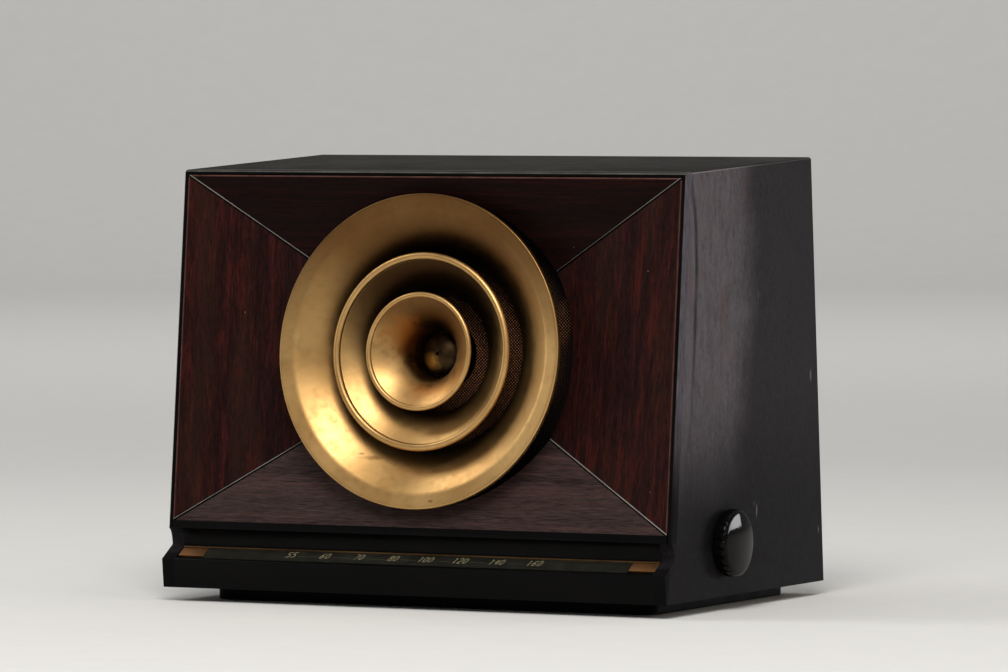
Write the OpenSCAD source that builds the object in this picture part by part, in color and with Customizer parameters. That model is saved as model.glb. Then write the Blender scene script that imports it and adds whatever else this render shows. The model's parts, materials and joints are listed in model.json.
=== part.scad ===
// Table radio receiver: wooden cabinet, dished four-panel front, three nested
// sound horns, dial ledge with a sliding pointer, and the works inside.
// Origin: middle of the footprint, on the surface it stands on. Front faces -Y.

/* [Cabinet] */
// Width over the side boards
body_w = 324; // [300:1:360]
// Height of the front top edge above the underside
body_h = 240; // [225:1:280]
// Depth at the foot, from the dial ledge's lip to the back
body_d = 205.8; // [198:0.2:240]
// How far the top edge of the front lies behind the ledge's lip
front_setback = 28.4; // [22:0.2:32]
// How far the back leans in at the top
back_lean_in = 15.8; // [6:0.2:20]
// Rise of the top from front to back
top_rise = 6; // [0:0.5:10]
// Thickness of the side, top and bottom boards
board_t = 8; // [6:0.5:10]
// Radius on the long top edges
edge_r = 1.6; // [0.8:0.1:3]

/* [Plinth] */
// Height of the plinth
plinth_h = 8; // [5:0.5:14]
// Plinth inset from each side
plinth_side = 20; // [10:1:40]
// Plinth inset from the ledge's lip
plinth_front = 24; // [14:1:40]
// Plinth inset from the back
plinth_back = 8; // [4:1:30]
// Corner radius of the plinth
plinth_r = 10; // [4:1:20]

/* [Dial ledge] */
// Height of the ledge's front face
ledge_h = 16.4; // [15:0.1:20]
// How far the ledge's front face is undercut at the bottom
ledge_undercut = 1.6; // [0:0.1:3]
// Depth of the sloped ledge top
ledge_d = 12.1; // [11.5:0.1:14]
// Rise of the sloped ledge top
ledge_rise = 7.6; // [7:0.1:9]
// Height of the cove above the ledge
cove_h = 9.9; // [8:0.1:14]
// Depth of the cove
cove_d = 4.6; // [3:0.1:6]
// Depth of the rail behind the ledge's lip
rail_d = 27.6; // [24:0.2:30]
// Width of the ledge's front lip
lip_w = 2; // [1.5:0.1:2.5]
// Width of the dial window across the slope
window_w = 11.3; // [10.5:0.1:12]
// Width of the brass trim above the glass
trim_w = 1.2; // [0.8:0.1:1.6]
// Shoulder that carries the glass
shoulder_w = 1; // [0.8:0.1:1.4]
// Thickness of the dial glass
glass_t = 1.2; // [1:0.1:1.6]
// Depth of the dial channel
channel_depth = 7.5; // [7:0.1:8]
// Length of each metal end plate
end_plate_l = 17; // [14:1:30]
// Distance of each end plate above the window's lower edge
end_plate_v = 2.6; // [1.2:0.1:4]
// Thickness of the scale plate
scale_t = 0.6; // [0.4:0.1:1]
// Pointer travel from end to end
pointer_travel = 172; // [150:1:180]
// Width of the pointer blade
pointer_w = 1.2; // [0.8:0.1:2]
// Radius of the rod that guides the pointer
rod_r = 1.25; // [1:0.05:1.6]
// Distance of the guide rod behind the ledge's lip
rod_back = 32; // [31:0.2:34]

/* [Front] */
// Width of the black bead round the front
bead_w = 3; // [2:0.2:4]
// Depth of the bead
bead_depth = 7; // [6.5:0.5:9]
// Width of the black border under the panels
border_low = 4.5; // [3:0.5:7]
// Depth of the dished front at its imaginary point
dish_depth = 29; // [18:1:30]
// Thickness of the veneered panels
panel_t = 5; // [4:0.5:5.5]
// Radius of the strips along the mitres
strip_r = 0.8; // [0.5:0.1:1.2]
// Radius of the round opening in the dish
opening_r = 89; // [84:0.5:92]
// Distance of the screen's face behind the front plane
screen_back = 27.2; // [27:0.2:32]
// Thickness of the woven screen
screen_t = 0.8; // [0.5:0.1:1.2]
// Radius of the woven screen
screen_r = 94; // [92:1:98]
// Thickness of the baffle board
baffle_t = 8; // [6:0.5:10]
// Radius of the baffle's opening
baffle_hole_r = 60; // [56:1:62]

/* [Horns] */
// Thickness of the spun metal
horn_t = 1.2; // [0.8:0.1:1.6]
// Mouth radius of the outer horn
outer_mouth_r = 89.8; // [85:0.2:92]
// Distance of the outer mouth in front of the front plane
outer_mouth_out = 7.3; // [5:0.1:9]
// Throat radius of the outer horn
outer_throat_r = 52; // [48:0.5:56]
// Width of the outer horn's flatter rim
outer_rim_w = 8.7; // [6:0.1:11]
// Rise of that rim towards its lip
outer_rim_rise = 1.9; // [1:0.1:3]
// Mouth radius of the middle horn
middle_mouth_r = 56.6; // [54:0.2:59]
// Distance of the middle mouth in front of the front plane
middle_mouth_out = 4.7; // [3:0.1:7]
// Throat radius of the middle horn
middle_throat_r = 33.4; // [31:0.2:36]
// Length of the middle flare
middle_flare = 24; // [20:0.5:26]
// Radius of the middle horn's rolled rim
middle_roll_r = 1.65; // [1:0.05:2]
// Mouth radius of the inner horn
inner_mouth_r = 33.8; // [31:0.2:36]
// Distance of the inner mouth in front of the front plane
inner_mouth_out = 7; // [5:0.1:9]
// Throat radius of the inner horn
inner_throat_r = 14; // [13:0.1:15]
// Length of the inner flare
inner_flare = 26; // [22:0.5:28]
// Radius of the inner horn's rolled rim
inner_roll_r = 1.15; // [0.9:0.05:1.6]
// Width of the flange at each throat
flange_w = 6; // [5:0.5:7]
// Radius of the plug in the inner throat
plug_r = 12; // [10:0.1:12.6]
// Length of the plug
plug_l = 10; // [8:0.5:14]
// Thickness of the steel spider
spider_t = 1.5; // [1:0.1:2]

/* [Controls] */
// Radius of each knob
knob_r = 19.2; // [17:0.1:21]
// Thickness of each knob
knob_t = 10; // [8:0.5:13]
// Number of flutes round a knob
knob_flutes = 24; // [16:1:36]
// Gap between a knob and the side board
knob_gap = 0.8; // [0.5:0.1:2]
// Distance of the knobs behind the ledge's lip
knob_back = 76.1; // [74:0.1:80]
// Height of the knobs above the underside
knob_up = 30.3; // [29:0.1:32]
// Radius of the control shafts
shaft_r = 3.175; // [3:0.025:3.5]
// Radial clearance of a running fit
run_fit = 0.06; // [0.02:0.01:0.1]
// Outer radius of a threaded bushing
bushing_r = 4.7; // [4.5:0.1:5.5]
// Radius of the hole for each shaft in the side board
shaft_hole_r = 6; // [5:0.5:7]
// Turns of the tuning knob from one end of the dial to the other
tuning_turns = 3.5; // [3.5:0.5:5]

/* [Works] */
// Gap between the chassis and each side board
chassis_side_gap = 18; // [17:0.5:21]
// Distance of the chassis in front of the cabinet's back, at the foot
chassis_rear_gap = 23.8; // [20:0.2:28]
// Height of the chassis deck above the underside
chassis_up = 48; // [46:0.5:49]
// Thickness of the chassis steel
steel_t = 1.2; // [0.8:0.1:1.6]
// Distance of the chassis behind the ledge's lip
chassis_back = 50; // [49:0.5:54]
// Radius of the loudspeaker's rim
speaker_r = 78; // [74:0.5:79]
// Depth of the loudspeaker's basket
basket_d = 46; // [40:1:52]
// Radius of the loudspeaker's magnet
magnet_r = 28; // [24:1:32]
// Depth of the magnet
magnet_d = 24; // [18:1:28]
// Distance of the gang's shaft behind the ledge's lip
gang_back = 122; // [121:0.5:124]
// Height of the gang's shaft above the deck
gang_up = 30; // [29:0.5:33]
// Width of the gang between its end plates
gang_w = 36; // [32:1:38]
// Radius of the moving plates
rotor_r = 19; // [16:0.5:20]
// Moving plates in each section
rotor_plates = 5; // [3:1:5]
// Thickness of one tuning plate
plate_t = 0.8; // [0.6:0.1:1]
// Thickness of the drum
drum_w = 6; // [5:0.5:6]
// Radius of the dial cord
cord_r = 0.5; // [0.4:0.05:0.7]
// Radius of the cord where it turns on its guides
guide_r = 5; // [4.5:0.1:5.5]
// Radius of a valve's glass
valve_r = 14; // [12:0.5:15]
// Height of a valve's glass above its base
valve_h = 46; // [38:1:52]
// Thickness of the rear cover
rear_t = 3; // [2:0.5:4]
// How far the rear cover lies inside the back edges
rear_recess = 5; // [3:0.5:8]

/* [Hidden] */
$fn = 64;

// Overshoot of a cut past a face
eps = 0.1;
// Length that reaches past the whole cabinet
far = 500;

// Places of the side outline, as [y, z]
lip_y = -body_d / 2;
z0 = plinth_h;
lip_pt = [lip_y, z0 + ledge_h];
foot_pt = [lip_y + ledge_undercut, z0];
ledge_pt = [lip_y + ledge_d, z0 + ledge_h + ledge_rise];
field_pt = [ledge_pt[0] - cove_d, ledge_pt[1] + cove_h];
top_front_pt = [lip_y + front_setback, z0 + body_h];
top_back_pt = [body_d / 2 - back_lean_in, z0 + body_h + top_rise];
back_foot_pt = [body_d / 2, z0];

// Front plane: its lean from vertical and its length along the slope
front_lean = atan2(top_front_pt[0] - field_pt[0], top_front_pt[1] - field_pt[1]);
front_len = norm(top_front_pt - field_pt);
// Top plane
top_lean = atan2(top_rise, top_back_pt[0] - top_front_pt[0]);
top_len = norm(top_back_pt - top_front_pt);
// Back plane
back_lean = atan2(back_foot_pt[0] - top_back_pt[0], top_back_pt[1] - z0);
back_len = norm(top_back_pt - back_foot_pt);
// Slope of the dial ledge
ledge_lean = atan2(ledge_rise, ledge_d);

// Inside half width
inner_x = body_w / 2 - board_t;
// Chassis: half width, width and depth
chassis_x = inner_x - chassis_side_gap;
chassis_w = 2 * chassis_x;
chassis_d = body_d - chassis_back - chassis_rear_gap;
// Veneered field, in the front plane
field_x = body_w / 2 - bead_w;
field_low = border_low;
field_top = front_len - bead_w;
field_mid = (field_low + field_top) / 2;
field_half = (field_top - field_low) / 2;
// Layers behind the front plane, as distances along its normal
screen_w0 = -screen_back - screen_t;
spider_w0 = screen_w0 - spider_t;
baffle_w0 = spider_w0 - baffle_t;

// Cove between the ledge and the panels, a quarter of an ellipse
cove_steps = 8;
cove_pts = [for (i = [1:cove_steps - 1]) let (a = 90 * i / cove_steps)
    [field_pt[0] + cove_d * cos(a), ledge_pt[1] + cove_h * sin(a)]];

// A child drawn in the front plane: X across, Y up the slope, Z outwards
module on_front()
    translate([0, field_pt[0], field_pt[1]]) rotate([90 - front_lean, 0, 0]) children();
// A child on the horns' axis, in the front plane
module on_axis()
    on_front() translate([0, field_mid, 0]) children();
// A child on the top plane: X across, Y to the back, Z up
module on_top()
    translate([0, top_front_pt[0], top_front_pt[1]]) rotate([top_lean, 0, 0]) children();
// A child on the back plane: X towards the left, Y up the slope, Z outwards
module on_back()
    translate([0, back_foot_pt[0], back_foot_pt[1]]) rotate([90 - back_lean, 0, 180]) children();
// A child on the sloped dial ledge: X across, Y up the slope, Z outwards
module on_ledge()
    translate([0, lip_pt[0], lip_pt[1]]) rotate([ledge_lean, 0, 0]) children();
// A side outline in Y and Z, drawn out along X
module along_x(x0, x1)
    translate([x0, 0, 0]) rotate([90, 0, 90]) linear_extrude(x1 - x0) children();
// A round bar along X
module bar_x(r, x0, x1, y, z)
    translate([x0, y, z]) rotate([0, 90, 0]) cylinder(r = r, h = x1 - x0);
// A child with its mirror image across the middle
module both_sides() {
    children();
    mirror([1, 0, 0]) children();
}

// Everything in front of a plane parallel to the front, from the field's foot up
module front_space(w)
    on_front() translate([-far / 2, 0, w]) cube([far, far, far / 4]);
// Everything above a plane parallel to the top
module top_space(w)
    on_top() translate([-far / 2, -far / 4, w]) cube([far, far, far / 4]);
// Everything behind a plane parallel to the back
module back_space(w)
    on_back() translate([-far / 2, -far / 4, w]) cube([far, far, far / 4]);

// Outline of a side board, in Y and Z
module side_outline()
    polygon(concat([foot_pt, lip_pt, ledge_pt], cove_pts,
        [field_pt, top_front_pt, top_back_pt, back_foot_pt]));

// Cut that rounds one long top edge
module edge_cut()
    on_top() translate([body_w / 2 - edge_r, -far / 4, -edge_r]) difference() {
        cube([far, far, far]);
        translate([0, -eps, 0]) rotate([-90, 0, 0]) cylinder(r = edge_r, h = far + 2 * eps);
    }

// Hole for a control shaft through the right side board
module shaft_hole(r)
    bar_x(r, inner_x - eps, body_w / 2 + eps, lip_y + knob_back, z0 + knob_up);

// Right side board: full outline, mitred under the top, cut back for the bead
module side_board()
    difference() {
        along_x(inner_x, body_w / 2) side_outline();
        front_space(-bead_depth);
        on_top() translate([0, far / 2, 0]) rotate([90, 0, 0]) linear_extrude(far)
            polygon([[inner_x - 1, -board_t - 1], [body_w / 2 + 1, 1], [inner_x - 1, 1]]);
        edge_cut();
        shaft_hole(shaft_hole_r);
    }

module side_board_right() color("#1c1a19") side_board();
module side_board_left() color("#1c1a19") mirror([1, 0, 0]) side_board();

module top_board()
    color("#1c1a19") difference() {
        on_top() translate([0, far / 2, 0]) rotate([90, 0, 0]) linear_extrude(far)
            polygon([[-body_w / 2, 0], [body_w / 2, 0],
                [inner_x, -board_t], [-inner_x, -board_t]]);
        front_space(-bead_depth);
        on_top() translate([-far / 2, -far + bead_depth / 2, -far / 2]) cube([far, far, far]);
        back_space(0);
        both_sides() edge_cut();
    }

module bottom_board()
    color("#2a2320") difference() {
        translate([-inner_x, lip_y + rail_d, z0]) cube([2 * inner_x, body_d, board_t]);
        back_space(0);
    }

// Plinth: a board with round corners, set back all round
module plinth() {
    x = body_w / 2 - plinth_side - plinth_r;
    y0 = lip_y + plinth_front + plinth_r;
    y1 = body_d / 2 - plinth_back - plinth_r;
    color("#141312") linear_extrude(plinth_h) {
        for (px = [-x, x], py = [y0, y1]) translate([px, py]) circle(r = plinth_r);
        translate([-x - plinth_r, y0]) square([2 * (x + plinth_r), y1 - y0]);
        translate([-x, y0 - plinth_r]) square([2 * x, y1 - y0 + 2 * plinth_r]);
    }
}

// One upright of the bead: a strip with a half-round front
module bead_upright() {
    r = bead_w / 2;
    translate([field_x, 0, -bead_depth]) cube([bead_w, front_len - r, bead_depth - r]);
    translate([field_x + r, 0, -r]) rotate([-90, 0, 0]) cylinder(r = r, h = front_len - r);
}

module front_bead() {
    r = bead_w / 2;
    y = front_len - r;
    color("#0d0c0c") difference() {
        on_front() {
            both_sides() bead_upright();
            translate([-field_x - r, y, -r]) rotate([0, 90, 0])
                cylinder(r = r, h = 2 * (field_x + r));
            both_sides() translate([field_x + r, y, -r]) sphere(r = r);
            translate([-body_w / 2, front_len - bead_w, -bead_depth])
                cube([body_w, bead_w + 1, bead_depth - r]);
        }
        top_space(0);
        both_sides() edge_cut();
    }
}

// Cove rail: hollow moulding between the dial ledge and the panels
module cove_rail() {
    up = [sin(front_lean), cos(front_lean)];
    into = [cos(front_lean), -sin(front_lean)];
    lip_top = field_pt + border_low * up;
    color("#0f0e0e") {
        along_x(-inner_x, inner_x)
            polygon(concat([ledge_pt], cove_pts, [field_pt, lip_top,
                lip_top + bead_depth * into, [lip_y + rail_d, ledge_pt[1]]]));
        along_x(-field_x, field_x)
            polygon([field_pt, lip_top, lip_top + bead_depth * into, field_pt + bead_depth * into]);
    }
}

// Wedge of one panel: its outline in the front plane, drawn through the dish
module mitre_prism(a, b)
    translate([0, 0, -far / 4]) linear_extrude(far / 2)
        polygon([a, b, [0, field_mid]]);

// Opening for the horns and grooves for the mitre strips
module dish_cuts() {
    translate([0, field_mid, -far / 4]) cylinder(r = opening_r, h = far / 2);
    both_sides() for (v = [field_low, field_top]) on_mitre(v)
        translate([-strip_r, -strip_r, -4 * strip_r])
            cube([2 * strip_r, 2 * strip_r, field_x + field_half]);
}

// A child stood up along one mitre, from a corner of the field to the middle
module on_mitre(v) {
    run = [-field_x, field_mid - v, -dish_depth];
    translate([field_x, v, -strip_r / 2])
        rotate([0, acos(run[2] / norm(run)), atan2(run[1], run[0])]) children();
}

// Thickness of a panel measured along the front plane's normal
function panel_drop(half) = panel_t / cos(atan(dish_depth / half));

// Upper panel; the lower one is the same about the middle line
module dish_panel_high(edge, side)
    on_front() difference() {
        intersection() {
            translate([-field_x, 0, 0]) rotate([90, 0, 90]) linear_extrude(2 * field_x)
                polygon([[edge, 0], [field_mid, -dish_depth],
                    [field_mid, -dish_depth - panel_drop(field_half)],
                    [edge, -panel_drop(field_half)]]);
            mitre_prism([-field_x, edge], [field_x, edge]);
        }
        dish_cuts();
    }

module dish_panel_top() color("#3a1512") dish_panel_high(field_top);
module dish_panel_bottom() color("#4a2019") dish_panel_high(field_low);

module dish_panel_wide()
    on_front() difference() {
        intersection() {
            translate([0, field_top, 0]) rotate([90, 0, 0])
                linear_extrude(field_top - field_low)
                    polygon([[field_x, 0], [0, -dish_depth],
                        [0, -dish_depth - panel_drop(field_x)],
                        [field_x, -panel_drop(field_x)]]);
            mitre_prism([field_x, field_low], [field_x, field_top]);
        }
        dish_cuts();
    }

module dish_panel_right() color("#3f1713") dish_panel_wide();
module dish_panel_left() color("#3f1713") mirror([1, 0, 0]) dish_panel_wide();

// Black strips that cover the four mitres
module mitre_strips()
    color("#0d0c0c") on_front() intersection() {
        difference() {
            both_sides() for (v = [field_low, field_top]) on_mitre(v)
                cylinder(r = strip_r, h = field_x + field_half);
            translate([0, field_mid, -far / 4]) cylinder(r = opening_r, h = far / 2);
        }
        translate([-field_x, field_low, -far / 2])
            cube([2 * field_x, field_top - field_low, far]);
    }

// Baffle board across the cabinet, with the loudspeaker's opening
module baffle_board()
    color("#7a5a3a") difference() {
        on_front() difference() {
            translate([-inner_x, border_low + 1.5, baffle_w0])
                cube([2 * inner_x, front_len, baffle_t]);
            translate([0, field_mid, baffle_w0 - eps])
                cylinder(r = baffle_hole_r, h = baffle_t + 2 * eps);
        }
        top_space(-board_t);
    }

// Glue blocks behind the baffle, and cleats that carry the rear cover
block_s = 12;
cleat_s = 9;
module glue_blocks()
    color("#b08a5a") {
        on_front() both_sides() for (v = [block_s + 20, front_len - 60])
            translate([inner_x, v, baffle_w0]) mirror([1, 0, 0]) rotate([-90, 0, 0])
                linear_extrude(34) polygon([[0, 0], [block_s, 0], [0, block_s]]);
        on_back() both_sides()
            translate([inner_x - cleat_s, 66, -rear_recess - rear_t - cleat_s])
                cube([cleat_s, 150, cleat_s]);
    }

// Steps along each horn's flare
flare_steps = 20;

// Flare of a horn as [radius, height], from throat to mouth: half a parabola that
// leaves the throat along the axis. The outside lies one metal thickness off it.
function flare(mouth, throat, w_mouth, length, off) = [
    for (i = [0:flare_steps])
        let (t = i / flare_steps, run = 2 * (mouth - throat) * t, far_off = norm([length, run]))
            [throat + (mouth - throat) * t * t + off * length / far_off,
                w_mouth - length + length * t - off * run / far_off]];
function backwards(list) = [for (i = [len(list) - 1:-1:0]) list[i]];

// Shell of one horn in its own section: flare, rim, straight throat and flange
module horn_section(mouth, throat, w_mouth, length, rim)
    polygon(concat(flare(mouth, throat, w_mouth, length, 0), rim,
        backwards(flare(mouth, throat, w_mouth, length, horn_t)), [
            [throat + horn_t, -screen_back + horn_t],
            [throat + flange_w, -screen_back + horn_t],
            [throat + flange_w, -screen_back],
            [throat, -screen_back]]));

// How far the outer horn's edge is turned back, and the easing of its lip
turned_back = 3.2;
lip_ease = 0.9;

// Outer horn: its flatter rim ends in a turned-back edge
module outer_horn() {
    w = outer_mouth_out;
    r = outer_mouth_r;
    inner = r - outer_rim_w;
    low = w - outer_rim_rise;
    color("#c79a4a") on_axis() rotate_extrude($fn = 96)
        horn_section(inner, outer_throat_r, low, low + screen_back - eps, [
            [r - horn_t, w], [r, w - lip_ease], [r, w - turned_back],
            [r - horn_t, w - turned_back], [r - horn_t, w - horn_t - 0.3],
            [inner + horn_t, low - horn_t + 0.25]]);
}

// Horn whose rim is rolled round a wire
module rolled_horn(mouth, throat, w_mouth, length, roll) {
    rotate_extrude($fn = 96)
        horn_section(mouth - roll, throat, w_mouth - roll * 0.7, length - roll * 0.7, []);
    rotate_extrude($fn = 96) translate([mouth - roll, w_mouth - roll]) circle(r = roll);
}

module middle_horn()
    color("#c79a4a") on_axis() rolled_horn(middle_mouth_r, middle_throat_r,
        middle_mouth_out, middle_flare, middle_roll_r);

module inner_horn()
    color("#c79a4a") on_axis() rolled_horn(inner_mouth_r, inner_throat_r,
        inner_mouth_out, inner_flare, inner_roll_r);

// Radius of the stud that holds the centre plug
stud_r = 1.6;
// Plug in the inner throat: domed front, small drilled hole, stud behind
module centre_plug()
    color("#b58a3e") on_axis() difference() {
        union() {
            translate([0, 0, -screen_back]) rotate_extrude() {
                square([plug_r, plug_l - plug_r / 3]);
                intersection() {
                    translate([0, plug_l - plug_r * 5 / 3]) circle(r = plug_r * 5 / 3);
                    translate([0, plug_l - plug_r / 3]) square([plug_r, plug_r]);
                }
            }
            translate([0, 0, spider_w0 - 3]) cylinder(r = stud_r, h = 3 + spider_t + screen_t + eps);
            translate([0, 0, spider_w0 - 3]) cylinder(r = 3.2, h = 3, $fn = 6);
        }
        translate([0, 0, -screen_back + plug_l - 2]) cylinder(r = 1, h = 4);
    }

// Radii of the spider's rings: hub, inner, middle and outer
ring_half = 4;
spider_arms = 6;
spider_rings = [inner_throat_r + ring_half, middle_throat_r + ring_half];
screw_rings = [inner_throat_r + flange_w - 2, middle_throat_r + flange_w - 2];
outer_screw_r = outer_throat_r + flange_w - 2.2;
rim_ring = [outer_throat_r - 1, baffle_hole_r + 8];

// Steel spider behind the screen: rings joined by arms, on the baffle's face
module horn_spider()
    color("#8f9296") on_axis() translate([0, 0, spider_w0]) difference() {
        linear_extrude(spider_t) {
            circle(r = 6);
            for (r = spider_rings) difference() {
                circle(r = r + ring_half);
                circle(r = r - ring_half);
            }
            difference() {
                circle(r = rim_ring[1]);
                circle(r = rim_ring[0]);
            }
            for (a = [0:spider_arms - 1]) rotate(60 * a + 30)
                translate([3, -2.5]) square([rim_ring[0], 5]);
        }
        translate([0, 0, -eps]) cylinder(r = stud_r + 0.1, h = spider_t + 2 * eps);
    }

// Woven screen, laid on the spider and clamped by the horns' flanges
module grille_screen()
    color("#4a3626") on_axis() translate([0, 0, screen_w0]) difference() {
        cylinder(r = screen_r, h = screen_t);
        translate([0, 0, -eps]) cylinder(r = stud_r + 0.1, h = screen_t + 2 * eps);
    }

// Round-headed screws through the outer horn's flange
horn_screw_count = 6;
module horn_screws()
    color("#b9a06a") on_axis() for (i = [0:horn_screw_count - 1]) rotate(60 * i)
        translate([outer_screw_r, 0, -screen_back + horn_t]) difference() {
            intersection() {
                sphere(r = 2);
                translate([-3, -3, 0]) cube([6, 6, 6]);
            }
            translate([-3, -0.3, 1.3]) cube([6, 0.6, 2]);
        }

// Dial channel across the ledge's slope
slope_len = norm([ledge_d, ledge_rise]);
window_v0 = lip_w;
window_v1 = window_v0 + window_w;
channel_v0 = window_v0 + shoulder_w;
channel_v1 = window_v1 - shoulder_w - trim_w;
glass_w0 = -0.4 - glass_t;
dial_end = inner_x - 0.2;
// Half the length of the scale and its glass
glass_x = dial_end - end_plate_l;
// Gap between the glass and an end plate
plate_gap = 0.2;
// Slot behind the channel, for the pointer's arm
slot_h = 2.2;
arm_up = 18;
arm_t = 1;

module dial_rail()
    color("#0f0e0e") difference() {
        along_x(-inner_x, inner_x) polygon([foot_pt, lip_pt, ledge_pt,
            [lip_y + rail_d, ledge_pt[1]], [lip_y + rail_d, z0]]);
        on_ledge() {
            translate([-dial_end, window_v0, glass_w0]) cube([2 * dial_end, window_w, 20]);
            translate([-dial_end + shoulder_w, channel_v0, -channel_depth])
                cube([2 * (dial_end - shoulder_w), channel_v1 - channel_v0, channel_depth]);
        }
        translate([-pointer_travel / 2 - 5, lip_y + ledge_d - 2, z0 + arm_up - slot_h / 2])
            cube([pointer_travel + 10, rail_d, slot_h]);
    }

module dial_scale()
    color("#1d1a18") on_ledge()
        translate([-glass_x, channel_v0 + 0.1, -channel_depth])
            cube([2 * glass_x, channel_v1 - channel_v0 - 0.2, scale_t]);

module dial_glass()
    color("#9fb0a8", 0.4) on_ledge()
        translate([-glass_x, window_v0 + 0.2, glass_w0])
            cube([2 * glass_x, window_w - trim_w - 0.4, glass_t]);

module dial_trim()
    color("#c79a4a") on_ledge() translate([-dial_end + 0.3, window_v1 - trim_w, glass_w0])
        cube([2 * dial_end - 0.6, trim_w - 0.1, glass_t + 0.6]);

// Metal plates beyond both ends of the glass, each on a foot in the channel
module dial_end_plates() {
    x = glass_x + plate_gap;
    v0 = window_v0 + end_plate_v;
    v1 = window_v1 - trim_w - 0.1;
    color("#a8743a") on_ledge() both_sides() {
        translate([x, v0, glass_w0]) cube([dial_end - 0.3 - x, v1 - v0, glass_t]);
        translate([x, v0, -channel_depth])
            cube([dial_end - shoulder_w - 0.2 - x, channel_v1 - 0.1 - v0, channel_depth + glass_w0]);
    }
}

// Pointer at the low end of the dial: blade, arm, and a sleeve on the guide rod
rod_y = lip_y + rod_back;
rod_z = z0 + arm_up;
sleeve_r = 2.6;
sleeve_l = 8;
module dial_pointer()
    color("#d8ccae") difference() {
        union() {
            on_ledge() translate([-(pointer_travel + pointer_w) / 2, channel_v0 + 0.4, -5])
                cube([pointer_w, channel_v1 - channel_v0 - 0.8, arm_t]);
            translate([-pointer_travel / 2 - 2, lip_y + 10.4, rod_z - arm_t / 2])
                cube([4, rod_back - 10.4, arm_t]);
            bar_x(sleeve_r, -(pointer_travel + sleeve_l) / 2, -(pointer_travel - sleeve_l) / 2,
                rod_y, rod_z);
            translate([-pointer_travel / 2 - 1.5, rod_y - 0.6, z0 + lower_run + cord_r + 0.3])
                cube([3, 1.2, arm_up - lower_run - sleeve_r]);
        }
        bar_x(rod_r + run_fit, -pointer_travel, 0, rod_y, rod_z);
    }

// Half the length of the guide rod
rod_half = pointer_travel / 2 + 12;
module pointer_rod()
    color("#b9bcc0") bar_x(rod_r, -rod_half, rod_half, rod_y, rod_z);

// Brackets on the back of the rail, which hold the rod's ends
bracket_t = 3;
bracket_h = 6.8;
module rod_brackets()
    color("#8f9296") difference() {
        both_sides() translate([rod_half - bracket_t, lip_y + rail_d, rod_z - bracket_h / 2])
            cube([bracket_t, rod_back - rail_d + bracket_h / 2 - 0.4, bracket_h]);
        bar_x(rod_r, -rod_half - 1, rod_half + 1, rod_y, rod_z);
    }

// Drum and spool: the drum's half turn moves the cord by the pointer's travel
drum_r = pointer_travel / PI;
spool_r = drum_r / 2 / tuning_turns;
drum_x = inner_x - 10;
flange_h = 1.2;
spool_y = lip_y + knob_back;
spool_z = z0 + knob_up;
drum_y = lip_y + gang_back;
drum_z = z0 + chassis_up + gang_up;
// Heights of the cord's two runs above the underside
upper_run = knob_up - spool_r;
lower_run = upper_run - 2 * guide_r;
left_x = -rod_half - 14;
right_x = drum_x - guide_r;
right_y = rod_y + guide_r;

// Grooved guide: the cord rides 0.3 above the bottom of its groove
module grooved(r, w, bore)
    translate([0, 0, -w / 2]) rotate_extrude() difference() {
        translate([bore, 0]) square([r + flange_h - bore, w]);
        polygon([[r - cord_r - 0.3, 1], [r + flange_h + 1, 0.5],
            [r + flange_h + 1, w - 0.5], [r - cord_r - 0.3, w - 1]]);
    }

post_r = 1.5;
module cord_guides()
    color("#c9a45c") {
        translate([left_x, rod_y, z0 + (upper_run + lower_run) / 2]) rotate([90, 0, 0])
            grooved(guide_r, 3, post_r);
        for (z = [upper_run, lower_run]) translate([right_x, right_y, z0 + z])
            grooved(guide_r, 3, post_r);
    }

module guide_posts()
    color("#8f9296") {
        translate([left_x, rod_y + 3, z0 + (upper_run + lower_run) / 2])
            rotate([90, 0, 0]) cylinder(r = post_r, h = rod_back - rail_d + 3);
        translate([right_x, right_y, z0 + board_t])
            cylinder(r = post_r, h = upper_run - board_t + 3);
    }

// Points round an arc in the plane of the drum, drifting along X
function drum_arc(y, z, r, a0, a1, x_start, x_end, steps) = [for (i = [0:steps])
    let (a = a0 + (a1 - a0) * i / steps)
        [x_start + (x_end - x_start) * i / steps, y + r * cos(a), z + r * sin(a)]];
// Points round a level arc, for the guides at the right
function level_arc(x, y, z, a0, a1) = [for (i = [0:6])
    let (a = a0 + (a1 - a0) * i / 6) [x + guide_r * cos(a), y + guide_r * sin(a), z]];

// Line of centres from the spool to the drum, and the crossed tangent's angle
centres = [drum_y - spool_y, drum_z - spool_z];
centre_dir = atan2(centres[1], centres[0]);
cross_a = acos((drum_r + spool_r) / norm(centres));
// Tangent from the lower guide to the underside of the drum
guide_run = [right_y - drum_y, z0 + lower_run - drum_z];
guide_a = atan2(guide_run[1], guide_run[0]) + acos(drum_r / norm(guide_run));
drift = 0.9;
cord_path = concat(
    [[drum_x, drum_y + drum_r * cos(guide_a), drum_z + drum_r * sin(guide_a)]],
    level_arc(right_x, right_y, z0 + lower_run, 0, -90),
    [for (i = [0:8]) let (a = 270 - 180 * i / 8)
        [left_x + guide_r * cos(a), rod_y, z0 + (upper_run + lower_run) / 2
            + guide_r * sin(a)]],
    level_arc(right_x, right_y, z0 + upper_run, -90, 0),
    drum_arc(spool_y, spool_z, spool_r, -90, 360 + centre_dir - cross_a,
        drum_x - drift, drum_x + drift, 24),
    drum_arc(drum_y, drum_z, drum_r, 180 + centre_dir - cross_a, guide_a + 40,
        drum_x + drift, drum_x, 26));

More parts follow.
